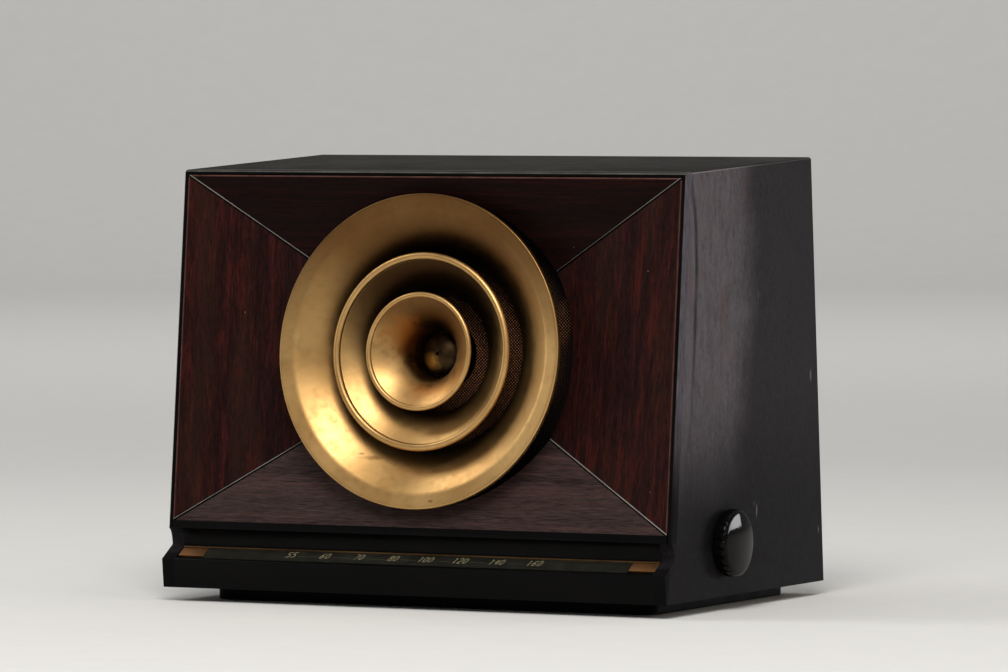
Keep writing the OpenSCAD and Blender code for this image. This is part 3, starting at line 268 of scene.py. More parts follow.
def side_lacquer():
    """Side boards: clouded grey-black lacquer with painted sheen, a crease in painted shade, worn
    nicks.
    """
    g = Graph("side_lacquer")
    mottle = g.noise(1.0, 5.0, 0.66, g.mapped((240, 240, 80)), distort=0.4)
    fine = g.noise(1.0, 3.0, 0.7, g.mapped((1300, 1300, 330)))
    cloud = g.noise(11.0, 4.0, 0.55, distort=0.5)
    n = (0.0, -math.cos(FRONT_LEAN), math.sin(FRONT_LEAN))
    start = n[1] * FIELD_PT[0] * MM + n[2] * FIELD_PT[1] * MM
    back = g.math("MULTIPLY", g.dot(n, start), -1.0)
    height = g.part("Z")
    colour = g.mix(g.level(mottle, 0.32, 0.68), srgb(12, 11, 13), srgb(25, 23, 26))
    # Painted sheen: paler towards the front and the top, fading behind and downwards; its red tint
    # and pale dashes follow it
    soft_back = g.math("ADD", back, g.math("MULTIPLY", g.math("SUBTRACT", cloud, 0.5), 0.06))
    sheen_and_dust = g.math("MULTIPLY", g.level(soft_back, *SHEEN_FADE, 1.0, 0.14, smooth=True),
                  g.level(height, *SHEEN_RISE, smooth=True))
    patchy = g.noise(1.0, 4.0, 0.6, g.mapped((75, 75, 45)), distort=0.5)
    sheen_colour = g.mix(g.level(mottle, 0.3, 0.7), srgb(58, 54, 58), srgb(96, 90, 94))
    sheen_colour = g.mix(g.level(patchy, 0.36, 0.68, 0.0, 0.6), sheen_colour, srgb(98, 92, 92))
    colour = g.mix(g.math("MULTIPLY", sheen_and_dust, 0.84), colour, sheen_colour)
    dashes = g.level(fine, 0.40, 0.74)
    colour = g.mix(g.math("MULTIPLY", dashes, g.math("MULTIPLY_ADD", sheen_and_dust, 0.34, 0.05)), colour,
                   srgb(122, 114, 118))
    red = g.level(g.noise(1.0, 3.0, 0.6, g.mapped((90, 90, 36))), 0.56, 0.70, 0.0, 0.3)
    colour = g.mix(g.math("MULTIPLY", red, sheen_and_dust), colour, srgb(84, 54, 50))
    bend = g.add("ShaderNodeFloatCurve")
    g.put(bend.inputs["Value"], g.math("DIVIDE", height, SIDE_HEIGHT))
    curve = bend.mapping.curves[0]
    curve.points[0].location = CREASE_PATH[0]
    curve.points[1].location = CREASE_PATH[-1]
    for at, value in CREASE_PATH[1:-1]:
        curve.points.new(at, value)
    bend.mapping.update()
    line = g.math("MULTIPLY", bend.outputs["Value"], CREASE_DEPTH)
    waver = g.level(g.noise(40.0, 3.0, 0.6), 0.0, 1.0, -0.0014, 0.0014)
    gap = g.math("ABSOLUTE", g.math("SUBTRACT", g.math("SUBTRACT", back, line), waver))
    crease = g.level(gap, 0.0002, 0.0034, 1.0, 0.0, smooth=True)
    crease = g.math("MULTIPLY", crease, g.level(height, 0.085, 0.15))
    crease = g.math("MULTIPLY", crease, g.level(g.noise(45.0, 3.0), 0.3, 0.6, 0.45, 0.8))
    # Painted reflection: the strip in front of the crease is paler; painted shade darkens the
    # crease itself
    pale = g.level(g.math("SUBTRACT", back, line), -0.004, 0.003, 0.2, 0.0, smooth=True)
    pale = g.math("MULTIPLY", pale, g.level(height, 0.05, 0.16))
    colour = g.mix(pale, colour, srgb(100, 94, 104))
    colour = g.mix(crease, colour, srgb(18, 16, 18))
    nicks = g.level(g.cells(34.0, g.mapped((1, 1, 0.5))), 0.0, 0.045, 1.0, 0.0)
    colour = g.mix(g.math("MULTIPLY", nicks, 0.4), colour, srgb(100, 94, 92))
    edge = g.math("MULTIPLY", g.level(g.math("ABSOLUTE", back), 0.0003, 0.0011, 0.7, 0.0),
                  g.level(g.noise(120.0, 4.0, 0.7), 0.45, 0.62, 0.0, 1.0))
    edge = g.math("MULTIPLY", edge, g.level(height, 0.044, 0.05))
    colour = g.mix(edge, colour, srgb(96, 90, 94))
    # Painted highlight: a pale line along the top edge, brightest at the front
    below = g.math("MULTIPLY", g.dot(TOP_NORMAL, TOP_OFFSET), -1.0)
    painted_highlight = g.math("MULTIPLY", g.level(below, 0.0003, 0.0013, 0.75, 0.0),
                    g.level(g.part("Y"), -0.075, 0.03, 1.0, 0.3))
    colour = g.mix(painted_highlight, colour, srgb(160, 154, 154))
    for y, z, half_y, half_z, weight in NICKS:
        far = g.from_point((0, y * MM, z * MM), (0, 1 / (half_y * MM), 1 / (half_z * MM)))
        colour = g.mix(g.level(g.math("ADD", far, g.level(fine, 0.2, 0.8, -0.5, 0.5)), 0.4, 1.0,
                               weight, 0.0), colour, srgb(120, 114, 114))
    nose = g.math("MULTIPLY", g.level(back, -0.0012, 0.0, 0.9, 0.0),
                  g.level(height, 0.042, 0.045, 1.0, 0.0))
    colour = g.mix(nose, colour, srgb(9, 8, 9))
    rough = g.level(mottle, 0.3, 0.7, 0.54, 0.68)
    normal = g.bump(mottle, 0.00008, g.bump(fine, 0.00003))
    normal = g.bump(g.math("MULTIPLY", crease, -1.0), 0.00022, normal)
    return g.finish(colour, rough, normal, specular=0.04)


def strip_lacquer():
    """Mitre strips: black, with a painted highlight along their upturned edges."""
    g, colour, roughness, normal = lacquer("strip_lacquer", srgb(5, 5, 5), srgb(10, 9, 9),
                                           (0.4, 0.5))
    return g.finish(rubbed_edge(g, colour, 0.85), roughness, normal, specular=0.03)


# Distance from the middle at which the front bead's outer flank begins, in metres
FLANK = (0.1611, 0.1615)


def bead_lacquer():
    """Front bead: black gloss with painted highlights on upturned edges, its outer flank painted
    grey with sheen, darker towards the bottom.
    """
    g, colour, _, normal = lacquer("bead_lacquer", srgb(6, 5, 5), srgb(12, 11, 11), (0.3, 0.4))
    mottle = g.noise(1.0, 4.0, 0.6, g.mapped((500, 500, 90)))
    colour = rubbed_edge(g, colour, 0.36)
    # Painted sheen on the outer flank, as on the side boards, fading to dark towards the bottom
    flank = g.level(g.math("ABSOLUTE", g.part("X")), *FLANK)
    painted_highlight = g.mix(g.level(mottle, 0.3, 0.7), srgb(64, 60, 64), srgb(98, 92, 98))
    painted_highlight = g.mix(g.level(g.part("Z"), 0.06, 0.13, smooth=True), srgb(20, 19, 21), painted_highlight)
    colour = g.mix(flank, colour, painted_highlight)
    return g.finish(colour, g.level(flank, 0.0, 1.0, 0.34, 0.7), normal, specular=0.03)


def plain_lacquer(name, dark, worn, rough, specular):
    """Black lacquer as it is on the top board, the rails and the plinth."""
    g, colour, roughness, normal = lacquer(name, dark, worn, rough)
    return g.finish(colour, roughness, normal, specular=specular)


def mahogany(name, along, dark, mid, light, olive_tone, sheen_and_dust, edge=None):
    """Ribbon mahogany under satin lacquer, with dust specks, painted sheen and a painted edge
    highlight. along is the grain: x or z.
    """
    g = Graph(name)
    wave = g.level(g.noise(9.0, 2.0, 0.5), 0.0, 1.0, -0.003, 0.003)
    shift = g.add("ShaderNodeCombineXYZ")
    g.put(shift.inputs[2 if along == "x" else 0], wave)
    bent = g.add("ShaderNodeVectorMath", operation="ADD")
    g.put(bent.inputs[0], g.place)
    g.put(bent.inputs[1], shift.outputs[0])

    def stretched(fine, long_way):
        scale = (long_way, fine, fine) if along == "x" else (fine, fine, long_way)
        return g.mapped(scale, source=bent.outputs[0])
    ribbon = g.noise(1.0, 3.0, 0.6, stretched(190, 3.2))
    figure = g.noise(1.0, 4.0, 0.66, stretched(820, 22))
    fibres = g.noise(1.0, 3.0, 0.7, stretched(1900, 60))
    pores = g.noise(1.0, 2.0, 0.5, stretched(2600, 190))
    streak = g.math("ADD", g.math("MULTIPLY", ribbon, 0.5), g.math("MULTIPLY", figure, 0.5))
    colour = g.ramp(streak, [(0.38, dark), (0.5, mid), (0.63, light)])
    olive = g.level(g.noise(1.0, 2.0, 0.5, stretched(70, 1.6)), 0.46, 0.64, 0.0, 0.45)
    colour = g.mix(olive, colour, olive_tone)
    colour = g.mix(g.level(fibres, 0.38, 0.78, 0.0, 0.42), colour, light)
    open_pores = g.level(pores, 0.60, 0.68)
    colour = g.mix(g.math("MULTIPLY", open_pores, 0.7), colour, dark)
    # Dust haze, and painted sheen where its weight is large, as on the upward-facing bottom panel
    dust = g.level(g.noise(1.0, 4.0, 0.7, stretched(1500, 110)), 0.36, 0.8, 0.0, sheen_and_dust)
    colour = g.mix(dust, colour, srgb(104, 90, 88))
    speck = g.level(g.cells(52.0), 0.0, 0.022, 1.0, 0.0)
    colour = g.mix(g.math("MULTIPLY", speck, 0.75), colour, srgb(176, 150, 140))
    # Painted highlight: a thin pale line along the panel's outer edge
    if edge:
        axis, at, weight = edge
        off = g.math("SUBTRACT", at, g.math("ABSOLUTE", g.part(axis)))
        line = g.math("MULTIPLY", g.level(off, 0.0002, 0.0010, weight, 0.0),
                      g.level(g.noise(90.0, 4.0, 0.7), 0.3, 0.6, 0.4, 1.0))
        colour = g.mix(line, colour, srgb(128, 88, 80))
    rough = g.level(ribbon, 0.35, 0.65, 0.40, 0.52)
    normal = g.bump(g.math("MULTIPLY", open_pores, -1.0), 0.00004, g.bump(fibres, 0.00002))
    return g.finish(colour, rough, normal, specular=0.04)


def horn_gold(name, throat, mouth, lip, bead, reaches, marks):
    """Satin spun brass, with painted shade browner towards the throat, most at the top, and a few
    marks.

    Inside the bead's radius it is painted browner and darker as shade, over a share of the flare
    (reaches, at the bottom and at the top). Behind the lip's height the outside is painted nearly
    black as shade, and so is the foot at the screen.
    """
    g = Graph(name)
    r = g.radius()
    cloud = g.noise(24.0, 4.0, 0.55, distort=0.5)
    spots = g.noise(210.0, 4.0, 0.62)
    turned = g.add("ShaderNodeCombineXYZ")
    g.put(turned.inputs[0], g.math("MULTIPLY", r, 2400.0))
    lines = g.noise(1.0, 3.0, 0.6, turned.outputs[0])
    colour = g.mix(g.level(cloud, 0.36, 0.66), srgb(190, 148, 92), srgb(214, 173, 112))
    colour = g.mix(g.level(spots, 0.52, 0.78, 0.0, 0.24), colour, srgb(132, 92, 52))
    span = (mouth - throat) * MM
    # Painted shade: towards the top, inside the bead's radius, the metal is painted browner and
    # darker
    rise = g.level(g.part("Y"), -mouth * MM * 0.25, mouth * MM * 0.8, 0.0, 1.0, smooth=True)
    inner = g.level(r, (bead - 0.2) * MM, (bead + 0.3) * MM, 1.0, 0.0)
    top_shade = g.math("MULTIPLY", rise, g.math("MULTIPLY_ADD", inner, 0.76, 0.08))
    colour = g.mix(top_shade, colour, srgb(80, 48, 20))
    low_reach, top_reach = reaches
    uneven = g.math("MULTIPLY", g.math("SUBTRACT", cloud, 0.5), 0.2 * span)
    reach = g.math("ADD", g.math("MULTIPLY_ADD", rise, (top_reach - low_reach) * span,
                                 throat * MM + low_reach * span), uneven)
    # Painted shade: darker towards the throat, reaching further up the flare at the top
    throat_shade = g.level(r, throat * MM + 0.05 * span, reach, 0.94, 0.0, smooth=True)
    colour = g.mix(g.math("MULTIPLY", throat_shade, inner), colour, srgb(30, 17, 9))
    for x, y, half_x, half_y, weight, tone in marks:
        far = g.from_point((x * MM, y * MM, 0), (1 / (half_x * MM), 1 / (half_y * MM), 0))
        ragged = g.math("ADD", far, g.level(spots, 0.2, 0.8, -0.5, 0.5))
        colour = g.mix(g.level(ragged, 0.3, 1.1, weight, 0.0, smooth=True), colour, tone)
    pits = g.level(g.cells(300.0), 0.0, 0.06, 0.5, 0.0)
    colour = g.mix(pits, colour, srgb(90, 58, 30))
    # Painted shade: the outside behind the lip and the foot at the screen are painted nearly black
    facing = g.add("ShaderNodeVectorMath", operation="DOT_PRODUCT")
    g.put(facing.inputs[0], g.facing)
    g.put(facing.inputs[1], g.mapped((1, 1, 0)))
    outside = g.math("MULTIPLY", g.level(facing.outputs["Value"], 0.0, 0.001),
                     g.level(g.part("Z"), (lip - 0.7) * MM, lip * MM, 1.0, 0.0))
    foot = g.level(g.part("Z"), (1.6 - SCREEN_BACK) * MM, (2.6 - SCREEN_BACK) * MM, 1.0, 0.0)
    colour = g.mix(g.math("MAXIMUM", outside, foot), colour, srgb(12, 7, 5))
    rough = g.level(spots, 0.35, 0.75, 0.36, 0.48)
    normal = g.bump(lines, 0.000008, g.bump(spots, 0.000012))
    return g.finish(colour, rough, normal, metallic=1.0)


def plug_metal(centre):
    """The plug in the innermost throat: brass gone dark, with a painted gold highlight low on its
    left.
    """
    g = Graph("plug_patina")
    rub = g.noise(170.0, 5.0, 0.7, distort=0.6)
    # Painted highlight: a gold patch low on the left
    far = g.from_point(Vector(centre) + Vector((-5.2 * MM, -2.0 * MM, -5.6 * MM)))
    ragged = g.math("ADD", far, g.level(rub, 0.2, 0.8, -0.003, 0.003))
    lit = g.level(ragged, 0.0015, 0.0085, 1.0, 0.0, smooth=True)
    colour = g.mix(g.level(rub, 0.35, 0.7), srgb(38, 26, 15), srgb(74, 54, 30))
    colour = g.mix(lit, colour, srgb(186, 134, 62))
    ring = g.from_point(Vector(centre), (1, 0, 1))
    colour = g.mix(g.level(ring, 0.0098, 0.0115, 0.0, 0.8), colour, srgb(18, 12, 8))
    return g.finish(colour, g.level(rub, 0.3, 0.7, 0.28, 0.5), g.bump(rub, 0.00006), metallic=0.9)


def plain_metal(name, colour, other, rough=(0.25, 0.45), metallic=1.0):
    """Sheet or turned metal with clouding and dull spots."""
    g = Graph(name)
    spots = g.noise(300.0, 4.0, 0.65)
    cloud = g.noise(37.5, 3.0, 0.6)
    shade = g.mix(g.level(cloud, 0.35, 0.7), colour, other)
    shade = g.mix(g.level(spots, 0.6, 0.8, 0.0, 0.4), shade, other)
    return g.finish(shade, g.level(spots, 0.3, 0.7, rough[0], rough[1]),
                    g.bump(spots, 0.00003), metallic=metallic)


# Woven screen, in mm: pitch of its threads, radii between which painted shade darkens it behind
# the horns, and the middle and half sizes, across and up, of the patch the painted shade leaves lit
PITCH_OF_WEAVE = 1.9
SHADED = (66.0, 80.0)
LIT_PLACE, LIT_HALF = (75.0, 163.0), (5.0, 14.0)


def weave():
    """Woven screen: dark red-brown threads with a gold dot on every crossing, and painted shade
    round it.
    """
    g = Graph("grille_cloth")
    pitch = PITCH_OF_WEAVE * MM
    across = g.math("MULTIPLY", g.part("X"), math.pi / pitch)
    up = g.math("MULTIPLY", g.dot((0.0, math.sin(FRONT_LEAN), math.cos(FRONT_LEAN))),
                math.pi / pitch)
    slant = g.math("ADD", across, up)
    other = g.math("SUBTRACT", across, up)
    knot = g.math("MULTIPLY", g.math("ABSOLUTE", g.math("SINE", slant)),
                  g.math("ABSOLUTE", g.math("SINE", other)))
    thread = g.math("MAXIMUM", g.math("ABSOLUTE", g.math("SINE", slant)),
                    g.math("ABSOLUTE", g.math("SINE", other)))
    vary = g.noise(420.0, 3.0, 0.6)
    base = g.mix(g.level(thread, 0.75, 1.0), srgb(9, 5, 4), srgb(36, 17, 11))
    gold = g.math("MULTIPLY", g.level(knot, 0.62, 0.86, smooth=True),
                  g.level(vary, 0.28, 0.6, 0.3, 1.0))
    colour = g.mix(gold, base, srgb(178, 114, 66))
    # Painted shade on the outer ring behind the outer horn, but for a patch left lit
    far = g.from_point(on_front(0, FIELD_MID, 0).translation, (1, 0, 1))
    lit = g.from_point((LIT_PLACE[0] * MM, 0, LIT_PLACE[1] * MM),
                       (1 / (LIT_HALF[0] * MM), 0, 1 / (LIT_HALF[1] * MM)))
    lit = g.level(g.math("ADD", lit, g.level(vary, 0.2, 0.8, -0.2, 0.2)), 0.7, 1.1, 0.2, 1.0)
    dark = g.level(far, SHADED[0] * MM, SHADED[1] * MM, 0.0, 0.92, smooth=True)
    shade = g.math("MULTIPLY", dark, lit)
    colour = g.mix(shade, colour, srgb(5, 3, 3))
    height = g.math("ADD", g.math("MULTIPLY", thread, 0.5), g.math("MULTIPLY", knot, 0.5))
    return g.finish(colour, g.level(vary, 0.3, 0.7, 0.6, 0.8), g.bump(height, 0.0004),
                    specular=0.15)


def moulded(name, colour, other, rough=(0.12, 0.28), specular=0.5, alpha=1.0):
    """Moulded plastic, rubber or paint with slight clouding and fine scratches."""
    g = Graph(name)
    cloud = g.noise(90.0, 4.0, 0.6)
    scratch = g.noise(1.0, 2.0, 0.6, g.mapped((900, 900, 60), (0.3, 0.2, 0.7)))
    shade = g.mix(g.level(cloud, 0.35, 0.7), colour, other)
    roughness = g.level(scratch, 0.45, 0.75, rough[0], rough[1])
    return g.finish(shade, roughness, g.bump(scratch, 0.00001), specular=specular, alpha=alpha)


def board(name, colour, other, grain=(20, 500, 500), rough=(0.55, 0.75)):
    """Plain wood or fibreboard."""
    g = Graph(name)
    fibre = g.noise(1.0, 4.0, 0.65, g.mapped(grain))
    fleck = g.noise(650.0, 3.0, 0.7)
    shade = g.mix(g.level(fibre, 0.3, 0.7), colour, other)
    shade = g.mix(g.level(fleck, 0.6, 0.8, 0.0, 0.35), shade, srgb(34, 24, 16))
    return g.finish(shade, g.level(fleck, 0.3, 0.7, rough[0], rough[1]),
                    g.bump(g.math("ADD", fibre, fleck), 0.00005), specular=0.3)


def glass(name, colour):
    """Clear glass of bulbs and valves, with faint smears."""
    g = Graph(name)
    smear = g.noise(60.0, 4.0, 0.65, distort=0.8)
    shade = g.mix(g.level(smear, 0.4, 0.7), colour, srgb(205, 205, 198))
    return g.finish(shade, g.level(smear, 0.4, 0.75, 0.01, 0.06), g.bump(smear, 0.00001),
                    transmission=1.0, ior=1.5)


# Materials. The dial's pane lets light through by its alpha, as a clear shader would darken it.
SIDE = side_lacquer()
TOP = plain_lacquer("top_lacquer", srgb(26, 25, 23), srgb(48, 46, 43), (0.62, 0.76), 0.05)
GLOSS = plain_lacquer("rail_lacquer", srgb(3, 3, 3), srgb(8, 7, 7), (0.28, 0.4), 0.07)
BEAD = bead_lacquer()
STRIP = strip_lacquer()
PLINTH = plain_lacquer("plinth_paint", srgb(5, 5, 5), srgb(11, 10, 10), (0.5, 0.7), 0.05)
# Painted light and shade: one mahogany, darkest on the top panel, lightest and hazed on the bottom
TOP_PANEL = mahogany("mahogany_top", "x", srgb(6, 3, 3), srgb(16, 6, 5), srgb(38, 12, 9),
                     srgb(20, 12, 8), 0.02, ("Z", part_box("dish_panel_top")[1].z, 0.7))
BOTTOM_PANEL = mahogany("mahogany_bottom", "x", srgb(17, 10, 9), srgb(38, 26, 25), srgb(64, 43, 39),
                        srgb(44, 34, 28), 0.36)
TALL_PANEL = mahogany("mahogany_upright", "z", srgb(8, 4, 4), srgb(25, 10, 8), srgb(62, 20, 15),
                      srgb(36, 24, 16), 0.06, ("X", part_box("dish_panel_right")[1].x, 0.42))
WEAVE = weave()
PLUG = plug_metal(on_front(0, FIELD_MID, PLUG_FACE).translation)
STEEL = plain_metal("steel", srgb(168, 170, 172), srgb(120, 120, 118))
BRASS = plain_metal("brass", srgb(196, 150, 84), srgb(128, 88, 44))
TRIM = plain_metal("dial_trim_brass", srgb(118, 90, 60), srgb(76, 56, 36), (0.4, 0.6))
COPPER = plain_metal("end_plate_bronze", srgb(136, 96, 62), srgb(92, 65, 42), (0.45, 0.65))
CHASSIS = plain_metal("plated_steel", srgb(160, 162, 160), srgb(124, 122, 114), (0.35, 0.55))
CAN = plain_metal("aluminium", srgb(196, 198, 200), srgb(150, 150, 148), (0.3, 0.5))
CORE = plain_metal("painted_core", srgb(44, 46, 50), srgb(70, 60, 48), (0.45, 0.65), metallic=0.3)
FIBRE = board("pressed_fibre", srgb(92, 66, 40), srgb(74, 52, 31))
PINE = board("pine", srgb(150, 116, 76), srgb(112, 80, 48))
CARD = board("cone_paper", srgb(34, 31, 29), srgb(24, 22, 20), (300, 300, 300), (0.8, 0.95))
SOCKET = board("paper_board", srgb(92, 58, 30), srgb(66, 40, 20), (300, 300, 300), (0.4, 0.6))
ANTENNA = board("antenna_board", srgb(150, 112, 60), srgb(112, 76, 36), (8, 1400, 1400))
KNOB = moulded("knob_plastic", srgb(7, 6, 6), srgb(11, 9, 9), (0.03, 0.07), 0.08)
BASE = moulded("base_plastic", srgb(38, 22, 14), srgb(26, 16, 11))
RUBBER = moulded("black_rubber", srgb(20, 19, 19), srgb(30, 29, 28), (0.6, 0.8), 0.3)
SCALE = moulded("scale_paint", srgb(38, 37, 33), srgb(48, 47, 41), (0.5, 0.7), 0.2)
INK = moulded("dial_ink", srgb(170, 161, 124), srgb(134, 126, 96), (0.5, 0.7), 0.3)
FAINT = moulded("dial_line_ink", srgb(84, 80, 64), srgb(60, 56, 46), (0.5, 0.7), 0.3)
POINTER = moulded("pointer_enamel", srgb(66, 58, 44), srgb(50, 44, 34), (0.4, 0.6))
CORD = moulded("cord_thread", srgb(172, 158, 128), srgb(132, 118, 92), (0.8, 0.95), 0.2)
MAGNET = moulded("magnet_paint", srgb(96, 84, 66), srgb(72, 62, 50), (0.4, 0.6))
DIAL_GLASS = moulded("dial_pane", srgb(38, 38, 33), srgb(52, 51, 45), (0.04, 0.12), 0.5, alpha=0.5)
VALVE_GLASS = glass("valve_envelope", srgb(216, 222, 222))
LAMP = glass("lamp_bulb", srgb(230, 226, 212))

FINISH = {
    "side_board_left": SIDE, "side_board_right": SIDE, "top_board": TOP, "front_bead": BEAD,
    "cove_rail": GLOSS, "dial_rail": GLOSS, "mitre_strips": STRIP, "plinth": PLINTH,
    "bottom_board": PINE, "dish_panel_top": TOP_PANEL, "dish_panel_bottom": BOTTOM_PANEL,
    "dish_panel_left": TALL_PANEL, "dish_panel_right": TALL_PANEL, "baffle_board": PINE,
    "glue_blocks": PINE, "centre_plug": PLUG, "horn_spider": STEEL, "grille_screen": WEAVE,
    "horn_screws": BRASS, "dial_scale": SCALE, "dial_glass": DIAL_GLASS, "dial_trim": TRIM,
    "dial_end_plates": COPPER, "dial_pointer": POINTER, "pointer_rod": STEEL,
    "rod_brackets": STEEL, "cord_guides": BRASS, "guide_posts": STEEL, "dial_cord": CORD,
    "dial_lamps": LAMP, "tuning_knob": KNOB, "volume_knob": KNOB, "tuning_shaft": STEEL,
    "volume_shaft": STEEL, "tuning_bushing": BRASS, "volume_control": STEEL,
    "gang_frame": CHASSIS, "gang_stators": CAN, "gang_rotor": CAN, "tuning_drum": CHASSIS,
    "chassis": CHASSIS, "chassis_screws": STEEL, "valve_sockets": SOCKET, "valve_bases": BASE,
    "valve_glass": VALVE_GLASS, "if_cans": CAN, "filter_can": CAN, "output_transformer": CORE,
    "speaker_basket": CORE, "speaker_cone": CARD, "speaker_magnet": MAGNET,
    "speaker_screws": STEEL, "rear_cover": FIBRE, "rear_cover_screws": STEEL,
    "loop_antenna": ANTENNA, "cord_bushing": RUBBER,
}
# Each node's material slots take its finish
for name, material in FINISH.items():
    for held in nodes[name].material_slots:
        held.material = material


def added(name, data):
    """An object in the scene that holds a mesh, a light or a camera."""
    obj = bpy.data.objects.new(name, data)
    bpy.context.scene.collection.objects.link(obj)
    return obj


def piece(name, mesh, material, body, place=None, replaces=()):
    """A new piece of the radio, placed in the frame and riding on a body."""
    obj = added(name, mesh)
    obj.matrix_world = place or Matrix.Identity(4)
    mesh.materials.append(material)
    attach(obj, body)
    if replaces:
        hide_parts(*replaces)
    return obj


def from_bmesh(name, bm, smooth=True):
    """A mesh made of a bmesh, with its faces turned outwards."""
    bmesh.ops.recalc_face_normals(bm, faces=bm.faces)
    mesh = bpy.data.meshes.new(name)
    bm.to_mesh(mesh)
    bm.free()
    for face in mesh.polygons:
        face.use_smooth = smooth
    return mesh


def lathe(name, profile, steps=192, inset=None):
    """A solid turned about Z from a closed section of (radius, height) points in mm.

    inset(radius, angle) gives how far a point is drawn in towards the axis.
    """
    bm = bmesh.new()
    rings = []
    for r, z in profile:
        if r < 1e-6:
            rings.append([bm.verts.new((0, 0, z * MM))])
            continue
        ring = []
        for i in range(steps):
            a = 2 * math.pi * i / steps
            rr = (r - inset(r, a) if inset else r) * MM
            ring.append(bm.verts.new((rr * math.cos(a), rr * math.sin(a), z * MM)))
        rings.append(ring)
    for a, b in zip(rings, rings[1:] + rings[:1]):
        if len(a) == 1 and len(b) == 1:
            continue
        for i in range(steps):
            j = (i + 1) % steps
            if len(a) == 1:
                bm.faces.new((a[0], b[i], b[j]))
            elif len(b) == 1:
                bm.faces.new((a[i], a[j], b[0]))
            else:
                bm.faces.new((a[i], a[j], b[j], b[i]))
    return from_bmesh(name, bm)


def smooth_by_angle(obj, degrees):
    """Smooth shading with sharp edges over an angle, held in the mesh itself."""
    mesh = obj.data
    bm = bmesh.new()
    bm.from_mesh(mesh)
    for edge in bm.edges:
        edge.smooth = edge.calc_face_angle(math.pi) < math.radians(degrees)
    bm.to_mesh(mesh)
    bm.free()
    for face in mesh.polygons:
        face.use_smooth = True


# Arcs of an eased edge, and the angle in degrees from which an edge is eased
EASE_SEGMENTS = 3
EASE_ANGLE = 28.0


def eased(node, width, material):
    """A copy of a CAD node's shape with its sharp edges eased, which stands for the node."""
    name = node + "_eased"
    body = nodes[node]["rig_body"]
    bm = bmesh.new()
    bm.from_mesh(nodes[node].data)
    bmesh.ops.remove_doubles(bm, verts=bm.verts, dist=2e-6)
    bmesh.ops.dissolve_limit(bm, angle_limit=math.radians(0.4), verts=bm.verts, edges=bm.edges)
    mesh = bpy.data.meshes.new(name)
    bm.to_mesh(mesh)
    bm.free()
    obj = piece(name, mesh, material, body, replaces=[node])
    bevel = obj.modifiers.new("eased", "BEVEL")
    bevel.width = width * MM
    bevel.segments = EASE_SEGMENTS
    bevel.limit_method = "ANGLE"
    bevel.angle_limit = math.radians(EASE_ANGLE)
    bevel.harden_normals = True
    bevel.use_clamp_overlap = True
    for face in mesh.polygons:
        face.use_smooth = True


# Horns, as turned bells on their common axis: wall and width of the throats' flanges, in mm
AXIS = on_front(0, FIELD_MID, 0)
HORN_T = 1.2
FLANGE_W = 6.0


def flare(mouth, throat, w_mouth, length, off, steps=44):
    """Half a parabola from throat to mouth as (radius, height), one thickness off it."""
    out = []
    for i in range(steps + 1):
        t = i / steps
        run = 2 * (mouth - throat) * t
        far = math.hypot(length, run)
        out.append((throat + (mouth - throat) * t * t + off * length / far,
                    w_mouth - length + length * t - off * run / far))
    return out


def arc(cx, cz, r, a0, a1, steps):
    """Points of an arc between two angles in degrees."""
    return [(cx + r * math.cos(math.radians(a0 + (a1 - a0) * i / steps)),
             cz + r * math.sin(math.radians(a0 + (a1 - a0) * i / steps)))
            for i in range(steps + 1)]


def throat_and_flange(throat):
    """Section of the flange at a horn's throat, from its front to the bore."""
    return [(throat + HORN_T, -SCREEN_BACK + HORN_T + 0.4),
            (throat + HORN_T + 0.4, -SCREEN_BACK + HORN_T),
            (throat + FLANGE_W - 0.2, -SCREEN_BACK + HORN_T),
            (throat + FLANGE_W, -SCREEN_BACK + HORN_T - 0.2),
            (throat + FLANGE_W, -SCREEN_BACK), (throat, -SCREEN_BACK)]


def outer_bell(mouth, throat, out, rim, rise):
    """Wide bell with a flat, slightly rising rim, into which the flare turns over softly."""
    inner, low = mouth - rim, out - rise
    length = low + SCREEN_BACK - 0.1
    inside = [p for p in flare(inner, throat, low, length, 0.0, 88) if p[0] < inner - 1.1]
    # The turn is a cubic from the flare's slope to the rim's
    flare_slope, rim_slope = 0.585, (rise - 0.1) / (rim - HORN_T)
    r0, w0 = inside[-1]
    r1, w1 = inner + 1.5, low + 1.5 * (rise - 0.1) / (rim - HORN_T)
    blend = []
    for i in range(1, 9):
        t = i / 8
        blend.append((r0 + (r1 - r0) * t,
                      (2 * t**3 - 3 * t**2 + 1) * w0
                      + (t**3 - 2 * t**2 + t) * flare_slope * (r1 - r0)
                      + (-2 * t**3 + 3 * t**2) * w1 + (t**3 - t**2) * rim_slope * (r1 - r0)))
    front = [(r1 + (mouth - 1.5 - r1) * i / 4, w1 + (out - 0.1 - w1) * i / 4)
             for i in range(1, 5)]
    lip = arc(mouth - 1.0, out - 1.0, 1.0, 84, 0, 8)
    back = [(mouth, out - 2.9), (mouth - 0.3, out - 3.2), (mouth - 0.9, out - 3.2),
            (mouth - HORN_T, out - 2.9), (mouth - HORN_T, out - 1.9), (mouth - 1.6, out - 1.6),
            (inner + HORN_T, low - HORN_T + 0.25)]
    outside = flare(inner, throat, low, length, HORN_T)[::-1]
    return inside + blend + front + lip + back + outside + throat_and_flange(throat)


def rolled_bell(mouth, throat, out, length, roll):
    """Bell whose lip is a rolled bead, standing a step above the flare inside it."""
    base, middle = mouth - roll, out - roll
    bead = arc(base, middle, roll, 196, -132, 40)
    bell = (base - roll * 0.96, throat, middle - roll * 0.3, length - roll * 1.3)
    inside = flare(*bell, 0.0)[:-1]
    outside = [p for p in flare(*bell, HORN_T)[::-1]
               if math.hypot(p[0] - base, p[1] - middle) > roll + 0.1]
    return inside + bead + outside + throat_and_flange(throat)


